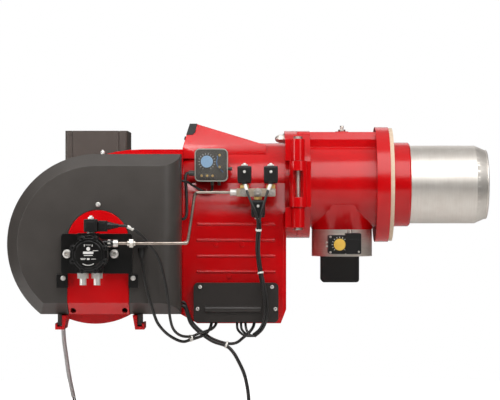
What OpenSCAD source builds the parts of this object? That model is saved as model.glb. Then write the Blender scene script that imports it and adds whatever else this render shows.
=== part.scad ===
// Industrial dual fuel burner with a hinged housing.
// X points along the flame tube into the boiler, Z is up, the oil pump is on the -Y side.
// The origin is the centre of the flange gasket's face, where the burner meets the boiler plate.

/* [Burner head] */
// Diameter of the burner flange
flange_d = 236; // [232:1:250]
// Thickness of the burner flange
flange_t = 27; // [18:1:32]
// Thickness of the flange gasket
gasket_t = 8; // [4:1:10]
// Circle of the four flange bolts
bolt_circle = 210; // [206:1:214]
// Diameter of each flange bolt hole
bolt_hole_d = 11; // [9:0.5:13]
// Outer diameter of the cast head tube and of the spigot ring
head_tube_d = 175; // [172:1:180]
// Length of the spigot ring in front of the gasket
spigot_l = 36; // [20:1:50]
// Outer diameter of the steel flame tube
flame_tube_d = 160; // [154:1:162]
// Wall of the flame tube
flame_wall = 3; // [2:0.5:4]
// Length of the flame tube in front of the gasket
flame_l = 195; // [160:1:260]
// Diameter of the flame tube's mouth
mouth_d = 140; // [130:1:150]
// Length of the taper before the mouth
mouth_taper_l = 25; // [15:1:40]
// Distance from the gasket face back to the split between head and housing
head_l = 195; // [190:1:205]

/* [Hinged flange] */
// Diameter of the two flanges that meet at the split
split_flange_d = 220; // [212:1:224]
// Thickness of the head's flange at the split
head_flange_t = 26; // [20:1:30]
// Thickness of the housing's flange at the split
swing_flange_t = 25; // [20:1:30]
// Distance of the hinge pin in front of the burner's axis
hinge_out = 135; // [132:1:142]
// Diameter of the hinge pin
hinge_pin_d = 10; // [8:1:12]
// Width of the outer hinge knuckles
knuckle_w = 27; // [24:1:29]
// Width of the middle hinge knuckle
mid_knuckle_w = 35; // [30:1:38]
// Upper end of the hinge
hinge_top = 90; // [80:1:95]
// Half height of the middle knuckle
mid_knuckle_h = 46; // [40:1:50]

/* [Gas valve] */
// Distance of the gas neck's centre behind the gasket face
neck_back = 102; // [98:1:106]
// Outer diameter of the gas valve body
valve_d = 124; // [118:1:128]
// Height of the gas valve body
valve_h = 55; // [50:1:60]
// Depth of the gas neck's lower face under the burner's axis
neck_drop = 92; // [90:1:98]
// Bore of the gas passage
gas_bore_d = 50; // [46:1:54]
// Circle of the four gas flange bolts
gas_bolt_circle = 98; // [92:1:102]
// Diameter of each gas flange bolt hole
gas_bolt_d = 9; // [7:0.5:10]

/* [Housing] */
// Diameter of the mixing tube behind the hinged flange
mixing_tube_d = 170; // [164:1:172]
// Wall of the cast housing
cast_wall = 6; // [4:0.5:7]
// Half depth of the duct under the mixing tube
duct_half = 105; // [100:1:108]
// Depth of the duct's floor under the burner's axis
duct_drop = 280; // [276:1:290]
// Distance from the gasket face back to the duct's front edge
duct_x = 218; // [214:1:219]
// Distance from the gasket face back to the fan's axis
fan_back = 602; // [600:1:606]
// Depth of the fan's axis under the burner's axis
fan_drop = 137; // [135:1:139]
// Smallest radius of the fan scroll, straight below the fan
scroll_r = 144; // [142:1:147]
// Height of the scroll's top over the burner's axis
scroll_top = 70; // [68:1:76]

/* [Fan] */
// Diameter of the fan wheel
fan_d = 256; // [240:1:262]
// Width of the fan wheel
fan_w = 144; // [130:1:150]
// Number of fan blades
fan_blades = 28; // [16:1:36]
// Diameter of the fan's inlet eye
eye_d = 176; // [160:1:184]
// Diameter of the motor shaft
shaft_d = 19; // [14:1:24]

/* [Intake hood] */
// Outer radius of the sound hood's round end
hood_r = 178; // [176:1:180]
// Distance of the hood's front face from the burner's axis
hood_front = 215; // [205:1:225]
// Width of the hood's sloped border
hood_bevel = 40; // [30:1:44]
// How far the front face steps in across the sloped border
hood_bevel_in = 24; // [18:1:30]
// Wall of the hood
hood_wall = 4; // [3:0.5:5]
// Radius of the arch round the pump carrier
arch_r = 61; // [58:1:64]

/* [Pump] */
// Diameter of the round pump body
pump_d = 76; // [70:1:80]
// Length of the pump body in front of its plate
pump_l = 62; // [50:1:70]
// Width of the pump's carrier plate
pump_plate_w = 117; // [112:1:120]
// How much further the pump plate reaches on the right
pump_plate_wing = 22; // [16:1:26]
// Height of the pump's carrier plate
pump_plate_h = 78; // [74:1:84]
// Thickness of the pump's carrier plate
pump_plate_t = 12; // [8:1:15]
// Distance between the two pump bolts
pump_bolt_gap = 92; // [88:1:98]

/* [Motor] */
// Diameter of the motor's core without its fins
motor_d = 156; // [140:1:160]
// Height of the motor's cooling fins
motor_fin_h = 10; // [6:1:14]
// Length of the motor frame
motor_l = 190; // [170:1:230]
// Width of the control box on the motor
motor_box_w = 132; // [120:1:140]
// Top of the control box over the burner's axis
motor_box_top = 115; // [105:1:125]

/* [Valves and pipe] */
// Outer diameter of the oil pipe
pipe_d = 6; // [5:0.5:8]
// Width of each solenoid coil
coil_w = 28; // [26:1:30]
// Height of each solenoid coil
coil_h = 35; // [32:1:38]

/* [Fits] */
// Running clearance round a pin or shaft, on the radius
run_fit = 0.08; // [0.04:0.02:0.1]
// Clearance between parts that are only pushed together
loose_fit = 0.4; // [0.3:0.1:0.6]

/* [Hidden] */

$fn = 72;

// Colours
cast_red = "#c9060c";
hood_grey = "#56514e";
steel_grey = "#cbc0ba";
alloy = "#c0b3a3";
plain_black = "#181411";
zinc = "#b9b4ac";
brass = "#c9a45f";
soft_beige = "#d9c2a8";
cable_black = "#2a2420";
cable_grey = "#827f7a";

// Burner head
flange_x = -gasket_t;
flange_back_x = flange_x - flange_t;
head_tube_r = head_tube_d / 2;
flame_r = flame_tube_d / 2;
split_x = -head_l;
split_gap = 0.5;
head_flange_x = split_x + head_flange_t;
split_r = split_flange_d / 2;
head_bore_r = flame_r + 1;
seat_gap = 0.15;
ridge_top = 107;
ridge_half = 36;
ridge_foot_half = 44;
ridge_edge = 92;
tube_back_x = -60;

// Hinge
swing_x = split_x - split_gap;
swing_back_x = swing_x - swing_flange_t;
hinge_bottom = -hinge_top + 3;
knuckle_gap = 0.5;
window_h = 53;
window_w = 20;
screw_d = 10;
screw_circle = 202;
screw_angles = [20, 90];
screw_reach = 14;

// Gas valve
neck_x = -neck_back;
valve_r = valve_d / 2;
valve_top = -neck_drop;
valve_low = valve_top - valve_h;
spindle_z = valve_top - valve_h / 2;
spindle_d = 8;
valve_pad_x = [-128, -76];
valve_pad_half_h = 17;
valve_pad_y = -64;
gas_switch_z = [-140.5, -102.5];
servo_y = [64, 140];
servo_x = [-142, -63];
servo_top = -100;
servo_low = -204;

// Housing
tube_r = mixing_tube_d / 2;
duct_low = -duct_drop;
fan_x = -fan_back;
fan_z = -fan_drop;
eye_r = eye_d / 2;
wall_y = duct_half;
scroll_end_a = 65;
scroll_end_r = (scroll_top - fan_z) / sin(scroll_end_a);
scroll_power = 4.5;
duct_back_x = -432;

// Hood
hood_x = fan_x + 8;
hood_z = fan_z + 18;
hood_right = -428;
hood_top = hood_z + hood_r;
hood_low = -258;
hood_y = -hood_front;
hood_back_y = -wall_y - 1;
hood_fillet = 43;
arch_x = fan_x + 13;
arch_z = fan_z + 25;
panel_gap = 1;

// Fan
fan_r = fan_d / 2;
fan_y = -84;

// Pump
pump_r = pump_d / 2;
plate_y = hood_y;
plate_front_y = plate_y - pump_plate_t;
pump_front_y = plate_front_y - pump_l;
pipe_z = fan_z + 21;
pipe_y = plate_front_y - 40;

// Motor
motor_r = motor_d / 2;
motor_y = wall_y + 14;
motor_end_y = motor_y + motor_l;

// Oil valves
block_z = -17;
block_y = -135;
block_foot_x = [-300, -262];
block_seat_y = -98;
sensor_x = -280;
sensor_z = 20;
sensor_seat_y = 88;
coil_x = [-302, -249.5];
coil_z = 1;
coil_low_x = -275;
coil_low_z = -32;

// Rods along each axis, from one end to the other
module rod_x(x0, x1, d) {
    translate([x0, 0, 0]) rotate([0, 90, 0]) cylinder(h = x1 - x0, d = d);
}

module rod_y(y0, y1, d) {
    translate([0, y0, 0]) rotate([-90, 0, 0]) cylinder(h = y1 - y0, d = d);
}

module rod_z(z0, z1, d) {
    translate([0, 0, z0]) cylinder(h = z1 - z0, d = d);
}

// A cone along X and a cone along Y
module cone_x(x0, x1, d0, d1) {
    translate([x0, 0, 0]) rotate([0, 90, 0]) cylinder(h = x1 - x0, d1 = d0, d2 = d1);
}

module cone_y(y0, y1, d0, d1) {
    translate([0, y0, 0]) rotate([-90, 0, 0]) cylinder(h = y1 - y0, d1 = d0, d2 = d1);
}

// A ring along X and a ring along Y
module ring_x(x0, x1, d, bore) {
    difference() {
        rod_x(x0, x1, d);
        rod_x(x0 - 1, x1 + 1, bore);
    }
}

module ring_y(y0, y1, d, bore) {
    difference() {
        rod_y(y0, y1, d);
        rod_y(y0 - 1, y1 + 1, bore);
    }
}

// A block given by its two corners
module block(a, b) {
    translate(a) cube(b - a);
}

// A side outline, drawn in X and Z, from y0 to y1
module side_shape(y0, y1) {
    translate([0, y1, 0]) rotate([90, 0, 0]) linear_extrude(height = y1 - y0) children();
}

// An end outline, drawn in Y and Z, from x0 to x1
module end_shape(x0, x1) {
    translate([x0, 0, 0]) rotate([90, 0, 90]) linear_extrude(height = x1 - x0) children();
}

// A plan outline, drawn in X and Y, from z0 to z1
module plan_shape(z0, z1) {
    translate([0, 0, z0]) linear_extrude(height = z1 - z0) children();
}

// A rectangle with round corners
module round_rect(a, b, r) {
    w = b[0] - a[0];
    h = b[1] - a[1];
    translate([a[0] + r, a[1]]) square([w - 2 * r, h]);
    translate([a[0], a[1] + r]) square([w, h - 2 * r]);
    for (x = [a[0] + r, b[0] - r], y = [a[1] + r, b[1] - r]) translate([x, y]) circle(r = r);
}

// A hexagon by its width across flats
module hexagon(flats) {
    circle(d = flats / cos(30), $fn = 6);
}

// A tube swept along points, with n sides
function unit(v) = v / norm(v);
function leg(p, i) = unit(p[min(i + 1, len(p) - 1)] - p[max(i - 1, 0)]);
function side_of(t) = unit(cross(t, abs(t[1]) < 0.8 ? [0, 1, 0] : [0, 0, 1]));
function ring_at(c, t, r, n) = [
    for (k = [0 : n - 1])
        c + r * (cos(360 * k / n) * side_of(t) + sin(360 * k / n) * cross(t, side_of(t)))
];
function smooth_point(p, i, u) =
    let (a = p[max(i - 1, 0)], b = p[i], c = p[i + 1], d = p[min(i + 2, len(p) - 1)])
    0.5 * (2 * b + (c - a) * u + (2 * a - 5 * b + 4 * c - d) * u * u
        + (3 * b - a - 3 * c + d) * u * u * u);
function smooth_path(p, steps) = concat(
    [for (i = [0 : len(p) - 2], s = [0 : steps - 1]) smooth_point(p, i, s / steps)],
    [p[len(p) - 1]]
);

module swept_tube(p, r, n = 8) {
    m = len(p);
    points = [for (i = [0 : m - 1]) each ring_at(p[i], leg(p, i), r, n)];
    walls = [
        for (i = [0 : m - 2], k = [0 : n - 1])
            [i * n + k, (i + 1) * n + k, (i + 1) * n + (k + 1) % n, i * n + (k + 1) % n]
    ];
    caps = [[for (k = [0 : n - 1]) k], [for (k = [n - 1 : -1 : 0]) (m - 1) * n + k]];
    polyhedron(points = points, faces = concat(walls, caps), convexity = 8);
}

// The head casting: tube, both flanges, test ridge, gas neck and middle hinge knuckle
module head_casting() {
    color(cast_red) difference() {
        union() {
            rod_x(split_x, flange_back_x, head_tube_d);
            rod_x(flange_back_x, flange_x, flange_d);
            rod_x(split_x, head_flange_x, split_flange_d);
            end_shape(split_x, flange_back_x) polygon([
                [-ridge_foot_half, 40], [ridge_foot_half, 40], [ridge_foot_half, ridge_edge],
                [ridge_half, ridge_top], [-ridge_half, ridge_top], [-ridge_foot_half, ridge_edge]
            ]);
            translate([neck_x, 0, 0]) {
                translate([0, 0, valve_top]) cylinder(h = 50, r1 = valve_r, r2 = valve_r + 18);
                rod_z(60, ridge_top + 2, 27);
            }
            translate([split_x, -hinge_out, 0]) middle_knuckle();
        }
        rod_x(split_x - 1, flange_back_x + 2, 2 * head_bore_r);
        rod_x(flange_back_x, 1, flame_tube_d + 2 * seat_gap);
        translate([neck_x, 0, 0]) rod_z(valve_top - 1, -50, gas_bore_d);
        for (a = [45 : 90 : 315]) rotate([a, 0, 0]) translate([0, bolt_circle / 2, 0])
            rod_x(flange_back_x - 1, 1, bolt_hole_d);
        for (a = screw_angles) screw_place(a)
            rod_x(split_x - 1, split_x + screw_reach + 2, screw_d + 3);
        translate([split_x, -hinge_out, 0]) {
            rod_z(-mid_knuckle_h - 1, mid_knuckle_h + 1, hinge_pin_d + 2 * run_fit);
            block([-window_w / 2, -30, -window_h / 2], [window_w / 2, 0, window_h / 2]);
        }
    }
}

// Middle hinge knuckle with the web that joins it to the head's flange
module middle_knuckle() {
    rod_z(-mid_knuckle_h, mid_knuckle_h, mid_knuckle_w);
    block([split_gap, 0, -mid_knuckle_h], [head_flange_t, hinge_out - split_r + 12, mid_knuckle_h]);
}

// Outer hinge knuckles with the webs that join them to the housing's flange
module outer_knuckles() {
    low = mid_knuckle_h + knuckle_gap;
    for (z = [[low, hinge_top], [hinge_bottom, -low]]) {
        rod_z(z[0], z[1], knuckle_w);
        block([-swing_flange_t - split_gap, 0, z[0]],
            [-split_gap, hinge_out - sqrt(pow(split_r, 2) - pow(hinge_top, 2)) + 4, z[1]]);
    }
}

// Places a child at one closing screw of the split flange
module screw_place(a) {
    rotate([-a, 0, 0]) translate([0, 0, screw_circle / 2]) children();
}

module flange_gasket() {
    color(soft_beige) difference() {
        rod_x(-gasket_t, 0, flange_d - 4);
        rod_x(-gasket_t - 1, 1, head_tube_d - 2);
        for (a = [45 : 90 : 315]) rotate([a, 0, 0]) translate([0, bolt_circle / 2, 0])
            rod_x(-gasket_t - 1, 1, bolt_hole_d);
    }
}

// The red ring that leads the flame tube through the boiler plate
module spigot_ring() {
    lip = 3;
    color(cast_red) difference() {
        union() {
            rod_x(flange_x, spigot_l - lip, head_tube_d - 2.5);
            cone_x(spigot_l - lip, spigot_l, head_tube_d - 2.5, head_tube_d - 2.5 - 2 * lip);
        }
        rod_x(flange_x - 1, spigot_l + 1, flame_tube_d + 2 * seat_gap);
    }
}

// Steel flame tube, turned in to the mouth, with a rolled lip
module flame_tube() {
    straight = flame_l - mouth_taper_l;
    mouth_r = mouth_d / 2;
    lip = 2.2;
    color(steel_grey) rotate([0, 90, 0]) rotate_extrude() {
        polygon([
            [flame_r - flame_wall, tube_back_x], [flame_r, tube_back_x],
            [flame_r, straight], [mouth_r, flame_l - lip],
            [mouth_r - flame_wall, flame_l - lip], [flame_r - flame_wall, straight - 1]
        ]);
        translate([mouth_r - flame_wall + lip, flame_l - lip]) circle(r = lip, $fn = 24);
    }
}

// Ring chamber over the gas neck with the gas lances that leave it
module gas_ring() {
    ring_x0 = -150;
    ring_x1 = -62;
    lance_d = 12;
    lance_r = 62;
    in_r = 52;
    out_r = head_bore_r - 1;
    color(steel_grey) {
        difference() {
            rod_x(ring_x0, ring_x1, 2 * out_r);
            rod_x(ring_x0 - 1, ring_x1 + 1, 2 * in_r);
            difference() {
                rod_x(ring_x0 + 3, ring_x1 - 3, 2 * out_r - 6);
                rod_x(ring_x0 + 2, ring_x1 - 2, 2 * in_r + 6);
            }
            translate([neck_x, 0, 0]) rod_z(-100, -in_r - 4, gas_bore_d);
            for (a = [0 : 45 : 315]) rotate([a, 0, 0]) translate([0, 0, lance_r])
                rod_x(ring_x1 - 4, ring_x1 + 1, lance_d - 3);
        }
        for (a = [0 : 45 : 315]) rotate([a, 0, 0]) translate([0, 0, lance_r])
            ring_x(ring_x1, 96, lance_d, lance_d - 3);
    }
}

// Slotted plate that the flame holds to
module diffuser_plate() {
    plate_x = 70;
    plate_r = 50;
    color(steel_grey) difference() {
        union() {
            rod_x(plate_x, plate_x + 2.5, 2 * plate_r);
            ring_x(plate_x - 18, plate_x, 2 * plate_r, 2 * plate_r - 4);
        }
        rod_x(plate_x - 1, plate_x + 4, 36);
        for (a = [0 : 30 : 330]) rotate([a, 0, 0])
            block([plate_x - 1, -1.5, 22], [plate_x + 4, 1.5, plate_r - 8]);
    }
}

// Nozzle rod, its support stars, the hexagon nozzle and its tip
module nozzle_rod() {
    star_x = [-175, 30];
    color(zinc) {
        rod_x(-182, 52, 22);
        translate([52, 0, 0]) rotate([0, 90, 0]) linear_extrude(height = 16) hexagon(19);
        cone_x(68, 76, 16, 8);
        for (a = [0, 120, 240]) rotate([a, 0, 0]) {
            block([star_x[0], -3, 8], [star_x[0] + 12, 3, head_bore_r - 0.3]);
            block([star_x[1], -3, 8], [star_x[1] + 22.5, 3, 47.8]);
        }
    }
}

// Two ceramic insulators with bent electrode wires
module ignition_electrodes() {
    for (s = [-1, 1]) rotate([s * 30, 0, 0]) translate([0, 0, 26]) {
        color("white") rod_x(-150, 48, 9);
        color(steel_grey) rod_x(48, 76, 2.5);
        color(zinc) rod_x(-168, -150, 5);
    }
    color(zinc) difference() {
        block([-60, -22, 8], [-50, 22, 31]);
        rod_x(-70, -40, 22.2);
        for (s = [-1, 1]) rotate([s * 30, 0, 0]) translate([0, 0, 26]) rod_x(-70, -40, 9);
    }
}

// Rope seal in its groove between the two split flanges
module split_seal() {
    color("#8d8a85") ring_x(split_x - 0.3, split_x, 2 * split_r - 34, 2 * head_bore_r + 6);
}

// Pressure test nipples on the head ridge and the gas valve
module test_nipples() {
    color(zinc) {
        translate([neck_x, 0, 0]) test_nipple(ridge_top + 2);
        for (x = [-92, -84]) translate([x, valve_pad_y - 21, gas_switch_z[1] + 4])
            cylinder(h = 7, d = 4.5);
    }
}

module test_nipple(z) {
    plan = 13;
    translate([0, 0, z]) {
        linear_extrude(height = 4) hexagon(plan);
        cylinder(h = 12, d = 7);
        translate([0, 0, 9]) cylinder(h = 3, d1 = 9, d2 = 6);
    }
}

// Die cast body of the gas butterfly valve
module gas_valve_body() {
    color(alloy) difference() {
        union() {
            translate([neck_x, 0, 0]) rod_z(valve_low, valve_top, valve_d);
            block([valve_pad_x[0], valve_pad_y, spindle_z - valve_pad_half_h],
                [valve_pad_x[1], -20, spindle_z + valve_pad_half_h]);
            block([neck_x - 20, 30, spindle_z - 16], [neck_x + 20, servo_y[0], spindle_z + 16]);
        }
        translate([neck_x, 0, 0]) {
            rod_z(valve_low - 1, valve_top + 1, gas_bore_d);
            translate([0, 0, spindle_z]) rod_y(-45, servo_y[0] + 1, spindle_d + 2 * run_fit);
            for (a = [45 : 90 : 315]) rotate([0, 0, a]) translate([gas_bolt_circle / 2, 0, 0])
                rod_z(valve_low - 1, valve_low + 18, gas_bolt_d);
        }
    }
}

// Butterfly disc with its spindle
module gas_butterfly() {
    disc_r = gas_bore_d / 2 - 0.6;
    color(steel_grey) translate([neck_x, 0, spindle_z]) {
        rod_y(-44.5, servo_y[0] + 20, spindle_d);
        rod_z(-1.25, 1.25, 2 * disc_r);
        for (s = [-1, 1]) translate([0, s * 10, 0]) rod_z(-5.5, 5.5, 5);
    }
}

// Servomotor of the gas valve: a rounded box behind the valve
module gas_servomotor() {
    r = 6;
    color(plain_black) difference() {
        union() {
            side_shape(servo_y[0] + 0.2, servo_y[1])
                round_rect([servo_x[0], servo_low], [servo_x[1], servo_top], r);
            side_shape(servo_y[1], servo_y[1] + 4)
                round_rect([servo_x[0] + 5, servo_low + 5], [servo_x[1] - 5, servo_top - 5], r);
        }
        translate([neck_x, 0, spindle_z]) rod_y(0, servo_y[0] + 21, spindle_d + 2 * run_fit);
        for (x = [servo_x[0] + 8 : 9 : servo_x[1] - 8])
            block([x, servo_y[1] + 2, servo_low + 16], [x + 3, servo_y[1] + 5, servo_top - 16]);
    }
}

// Gas pressure switch on the valve's near face, with its connector block
module gas_pressure_switch() {
    x = [-134, -98, -68];
    z = gas_switch_z;
    front = valve_pad_y - 52;
    color(plain_black) difference() {
        union() {
            side_shape(front, valve_pad_y) round_rect([x[0], z[0]], [x[1], z[1]], 4);
            side_shape(front - 6, valve_pad_y - 4) round_rect([x[1] - 2, z[0]], [x[2], z[1] + 4], 3);
        }
        gas_dial_place() rod_y(-7, 3.5, 27);
        gas_dial_place() rod_y(0, 12, 6 + 2 * run_fit);
    }
    color(zinc) {
        for (dz = [-15, 15]) translate([x[0] + 5, 0, spindle_z + dz - 1]) rod_y(front - 1, front, 4);
        for (dz = [4, -4]) translate([x[0] - 2, 0, spindle_z + dz]) rod_y(front + 20, front + 26, 3.5);
    }
}

// Places a child on the gas switch's dial axis, with Y from the switch's face inwards
module gas_dial_place() {
    translate([-111, valve_pad_y - 52, spindle_z - 2]) children();
}

// Setting dial: a disc with a grip bar and a short stem
module gas_switch_dial() {
    color("#e4c573") gas_dial_place() dial(12.5, 6);
}

module dial(r, stem) {
    difference() {
        rod_y(-1.5, 3, 2 * r);
        rotate([0, 35, 0]) block([-r + 3, -2, -1.2], [r - 3, -0.3, 1.2]);
        for (a = [0 : 30 : 330]) rotate([0, a, 0]) translate([r, 0, 0]) rod_y(-2, 1, 1.6, $fn = 16);
    }
    rod_y(3, 10, stem);
}

// Outline of the fan scroll: a spiral that widens from the bottom round to the top
module scroll_outline(inset) {
    steps = 30;
    sweep = 270 - scroll_end_a;
    grow = scroll_end_r - scroll_r;
    right = duct_back_x + cast_wall - inset;
    polygon(concat(
        [
            for (i = [0 : steps])
                let (u = i / steps, r = scroll_r + grow * pow(u, scroll_power) - inset)
                [fan_x + r * cos(270 - sweep * u), fan_z + r * sin(270 - sweep * u)]
        ],
        [[right, scroll_top - inset], [right, fan_z], [fan_x, fan_z]]
    ));
    translate([fan_x, fan_z]) circle(r = scroll_r - inset);
}

// The duct under the mixing tube, inset for its inner space
module duct_form(inset) {
    x0 = duct_back_x + inset;
    x1 = -duct_x - inset;
    low = duct_low + inset;
    w = wall_y - inset;
    r = max(8 - inset, 2);
    intersection() {
        end_shape(x0, x1) polygon([
            [-w, low], [w, low], [w, -60], [tube_r - inset, 2], [inset - tube_r, 2], [-w, -60]
        ]);
        side_shape(-w, w) polygon([
            [x0, 3], [x0, low + 19], [x0 + 35, low], [x1 - 11, low], [x1, low + 28], [x1, 3]
        ]);
        plan_shape(low, 3) round_rect([x0, -w], [x1, w], r);
    }
}

// The mixing tube between the fan scroll and the hinged flange
module mixing_form(inset) {
    taper_x = -330;
    left_r = scroll_top + 1;
    rod_x(taper_x, swing_back_x + 1, 2 * (tube_r - inset));
    cone_x(duct_back_x - 2 * inset, taper_x, 2 * (left_r - inset), 2 * (tube_r - inset));
}

// Sector windows round the fan axis, cut into the scroll wall and the air shutter
module sector_windows(y0, y1) {
    r0 = 36;
    count = 6;
    open_angle = 30;
    for (i = [0 : count - 1]) rotate([0, i * 360 / count, 0])
        translate([0, y1, 0]) rotate([90, 0, 0]) linear_extrude(height = y1 - y0) polygon(concat(
            [for (a = [0 : 5 : open_angle]) r0 * [cos(a), sin(a)]],
            [for (a = [open_angle : -5 : 0]) eye_r * [cos(a), sin(a)]]
        ));
}

// Hook under the scroll that carries one foot of the sound hood
module hood_hook(x, side) {
    pocket = 4.8;
    y0 = -185;
    translate([x, 0, 0]) scale([side, 1, 1]) {
        side_shape(y0, -wall_y + 2) polygon([
            [-9, -276], [-9, -288], [9, -288], [14, -260], [pocket, -260],
            [pocket, -282], [-pocket, -282], [-pocket, -276]
        ]);
        side_shape(-wall_y, -wall_y + 8) polygon([[-4, -282], [9, -282], [24, -235], [8, -235]]);
    }
}

hook_places = [[fan_x - 65, 1], [fan_x + 93, -1]];

// The swinging casting: flange, mixing tube, duct with ribs, fan scroll and hood hooks
module burner_housing() {
    rib_z = [-80.6, -112.8, -144.7, -176.3];
    boss_at = [[-360, -121.6], [-307, -122.2], [-333, -185]];
    color(cast_red) difference() {
        union() {
            rod_x(swing_back_x, swing_x, split_flange_d);
            mixing_form(0);
            duct_form(0);
            side_shape(-wall_y, wall_y) scroll_outline(0);
            translate([split_x, -hinge_out, 0]) outer_knuckles();
            for (z = rib_z) translate([0, -wall_y, z]) {
                rod_x(-396, -242, 5);
                for (x = [-396, -242]) translate([x, 0, 0]) sphere(d = 5, $fn = 24);
            }
            for (p = boss_at) translate([p[0], 0, p[1]]) rod_y(-wall_y - 2, -wall_y, 9);
            for (h = hook_places) hood_hook(h[0], h[1]);
            block([-394, air_pad_y, 16], [-344, -50, 50]);
            for (fx = block_foot_x) translate([fx, 0, block_z]) rod_y(block_seat_y, -70, 16);
            translate([sensor_x, 0, sensor_z]) rod_y(60, sensor_seat_y, 30);
        }
        mixing_form(cast_wall);
        rod_x(swing_back_x - 1, swing_x + 1, mixing_tube_d - 2 * cast_wall);
        duct_form(cast_wall);
        rod_x(duct_back_x - cast_wall - 2, -380, 134);
        block([duct_back_x - 2, -70, -125], [duct_back_x + cast_wall + 1, 70, 0]);
        side_shape(-wall_y + cast_wall, wall_y - cast_wall) scroll_outline(cast_wall);
        translate([fan_x, 0, fan_z]) {
            rod_y(wall_y - cast_wall - 1, wall_y + 1, 2 * motor_spigot_r + 0.6);
            sector_windows(-wall_y - 1, -wall_y + cast_wall + 1);
            rod_y(-wall_y - 1, -wall_y + cast_wall + 1, 44);
        }
        for (a = screw_angles) screw_place(a)
            rod_x(swing_back_x - 1, swing_x + 1, screw_d + 2 * run_fit);
        translate([split_x, -hinge_out, 0]) rod_z(hinge_bottom - 1, hinge_top + 1, hinge_pin_d);
        translate([-258, 0, 84]) rod_z(-10, 10, 16);
        translate([-425, 40, 0]) rod_z(scroll_top - 12, scroll_top + 5, 3.2);
    }
}

motor_spigot_r = scroll_r - 10;
air_pad_y = -90;

// Hinge pin with a hexagon head at each end
module hinge_pin() {
    head_h = 5;
    color(zinc) translate([split_x, -hinge_out, 0]) {
        rod_z(hinge_bottom, hinge_top, hinge_pin_d);
        translate([0, 0, hinge_top]) linear_extrude(height = head_h) hexagon(16);
        translate([0, 0, hinge_bottom - head_h]) linear_extrude(height = head_h) hexagon(16);
    }
}

// Closing screws with washers and domed nuts
module closing_screws() {
    color(zinc) for (a = screw_angles) screw_place(a) {
        rod_x(swing_back_x - 6, split_x + screw_reach, screw_d);
        rod_x(swing_back_x - 2, swing_back_x, 22);
        translate([swing_back_x - 11, 0, 0]) rotate([0, 90, 0])
            linear_extrude(height = 9) hexagon(16);
        translate([swing_back_x - 11, 0, 0]) difference() {
            sphere(d = 15, $fn = 32);
            block([0, -9, -9], [9, 9, 9]);
        }
    }
}

// Outline of the viewing hood seen from its end: wide at the tube, narrow on top
module viewing_end(gap) {
    polygon([[-60 - gap, 52], [60 + gap, 52], [58 + gap, 78], [36 + gap, 126], [-36 - gap, 126],
        [-58 - gap, 78]]);
}

// Wedge shaped viewing hood on the mixing tube, with its rear display face
module viewing_hood() {
    color(cast_red) difference() {
        intersection() {
            side_shape(-70, 70) polygon([
                [-428, 50], [-428, 74], [-414, 123], [-399, 123], [-274, 84.5], [-258, 80], [-258, 50]
            ]);
            end_shape(-440, -250) viewing_end(0);
        }
        mixing_form(-0.01);
        block([-440, -80, 40], [duct_back_x + cast_wall + 0.01, 80, scroll_top + 0.01]);
        cap_form(0.1);
        for (i = [0 : 2]) button_place(i) rod_z(-14, 3, 7.6);
        rear_face() block([-24, -22, -1.2], [24, -10, 1]);
    }
}

// Places a child on the rear face, with Z out of the face and Y up along it
module rear_face() {
    face_tilt = atan2(49, 14);
    translate([-421, 0, 98.5]) rotate([0, -face_tilt, 0]) rotate([0, 0, -90]) children();
}

module button_place(i) {
    rear_face() translate([(i - 1) * 16, -4, 0]) children();
}

// The black cap over the top of the display
module cap_form(gap) {
    intersection() {
        side_shape(-60, 60) polygon([
            [-421 - gap, 101 - gap], [-414 - gap, 124 + gap], [-399 + gap, 124 + gap],
            [-403 + gap, 106 - gap], [-408, 101 - gap]
        ]);
        end_shape(-440, -390) viewing_end(0.8 + gap);
    }
}

module display_cap() {
    color(plain_black) cap_form(0);
}

// One display button, sprung along the face's normal
module display_button(i) {
    color("#3c3a38") button_place(i) {
        translate([0, 0, -6]) cylinder(h = 9.5, d = 7);
    }
}

module display_button_1() { display_button(0); }
module display_button_2() { display_button(1); }
module display_button_3() { display_button(2); }

// Form of the sound hood, inset for its inner space
module hood_form(inset, back) {
    front = hood_y + inset;
    bevel_y = hood_y + hood_bevel;
    r = hood_r - inset;
    low = hood_low + inset;
    top = hood_z + r;
    right = hood_right - inset;
    intersection() {
        union() {
            translate([hood_x, 0, hood_z]) {
                rod_y(bevel_y, back, 2 * r);
                cone_y(front, bevel_y, 2 * (r - hood_bevel_in), 2 * r);
            }
            end_shape(hood_x, right) hood_end(front, bevel_y, back, low, top);
        }
        end_shape(hood_x - hood_r - 1, right) hood_end(front, bevel_y, back, low, top);
        plan_shape(low - 1, top + 1) hood_plan(right, front, back);
    }
}

module hood_end(front, bevel_y, back, low, top) {
    polygon([
        [back, low], [bevel_y, low], [front, low + hood_bevel_in], [front, top - hood_bevel_in],
        [bevel_y, top], [back, top]
    ]);
}

module hood_plan(right, front, back) {
    left = hood_x - hood_r - 1;
    translate([left, front]) square([right - hood_fillet - left, back - front]);
    translate([right - hood_fillet - 1, front + hood_fillet])
        square([hood_fillet + 1, back - front - hood_fillet]);
    translate([right - hood_fillet, front + hood_fillet]) circle(r = hood_fillet);
}

// Arch outline of the pump carrier, with its open foot
module arch_outline(gap) {
    r = arch_r - gap;
    translate([arch_x, arch_z]) circle(r = r);
    translate([arch_x - r, hood_low - 60]) square([2 * r, arch_z - hood_low + 60]);
}

// The dark sound hood over the fan's inlet, open at its back
module sound_hood() {
    color(hood_grey) difference() {
        hood_form(0, hood_back_y);
        hood_form(hood_wall, hood_back_y + 1);
        side_shape(hood_y - 1, hood_back_y + 1) arch_outline(0);
        translate([servo_gland_x, 0, servo_gland_z]) rod_y(hood_y - 1, hood_y + hood_wall + 1, 12);
        for (s = hood_screw_at) translate([s[0], 0, s[1]]) rod_y(hood_y - 1, hood_y + 10, 4);
    }
}

hood_screw_at = [[fan_x + 13, -41], [fan_x - 55, -185], [fan_x + 82, -185]];
servo_gland_x = -503;
servo_gland_z = -118;

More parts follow.
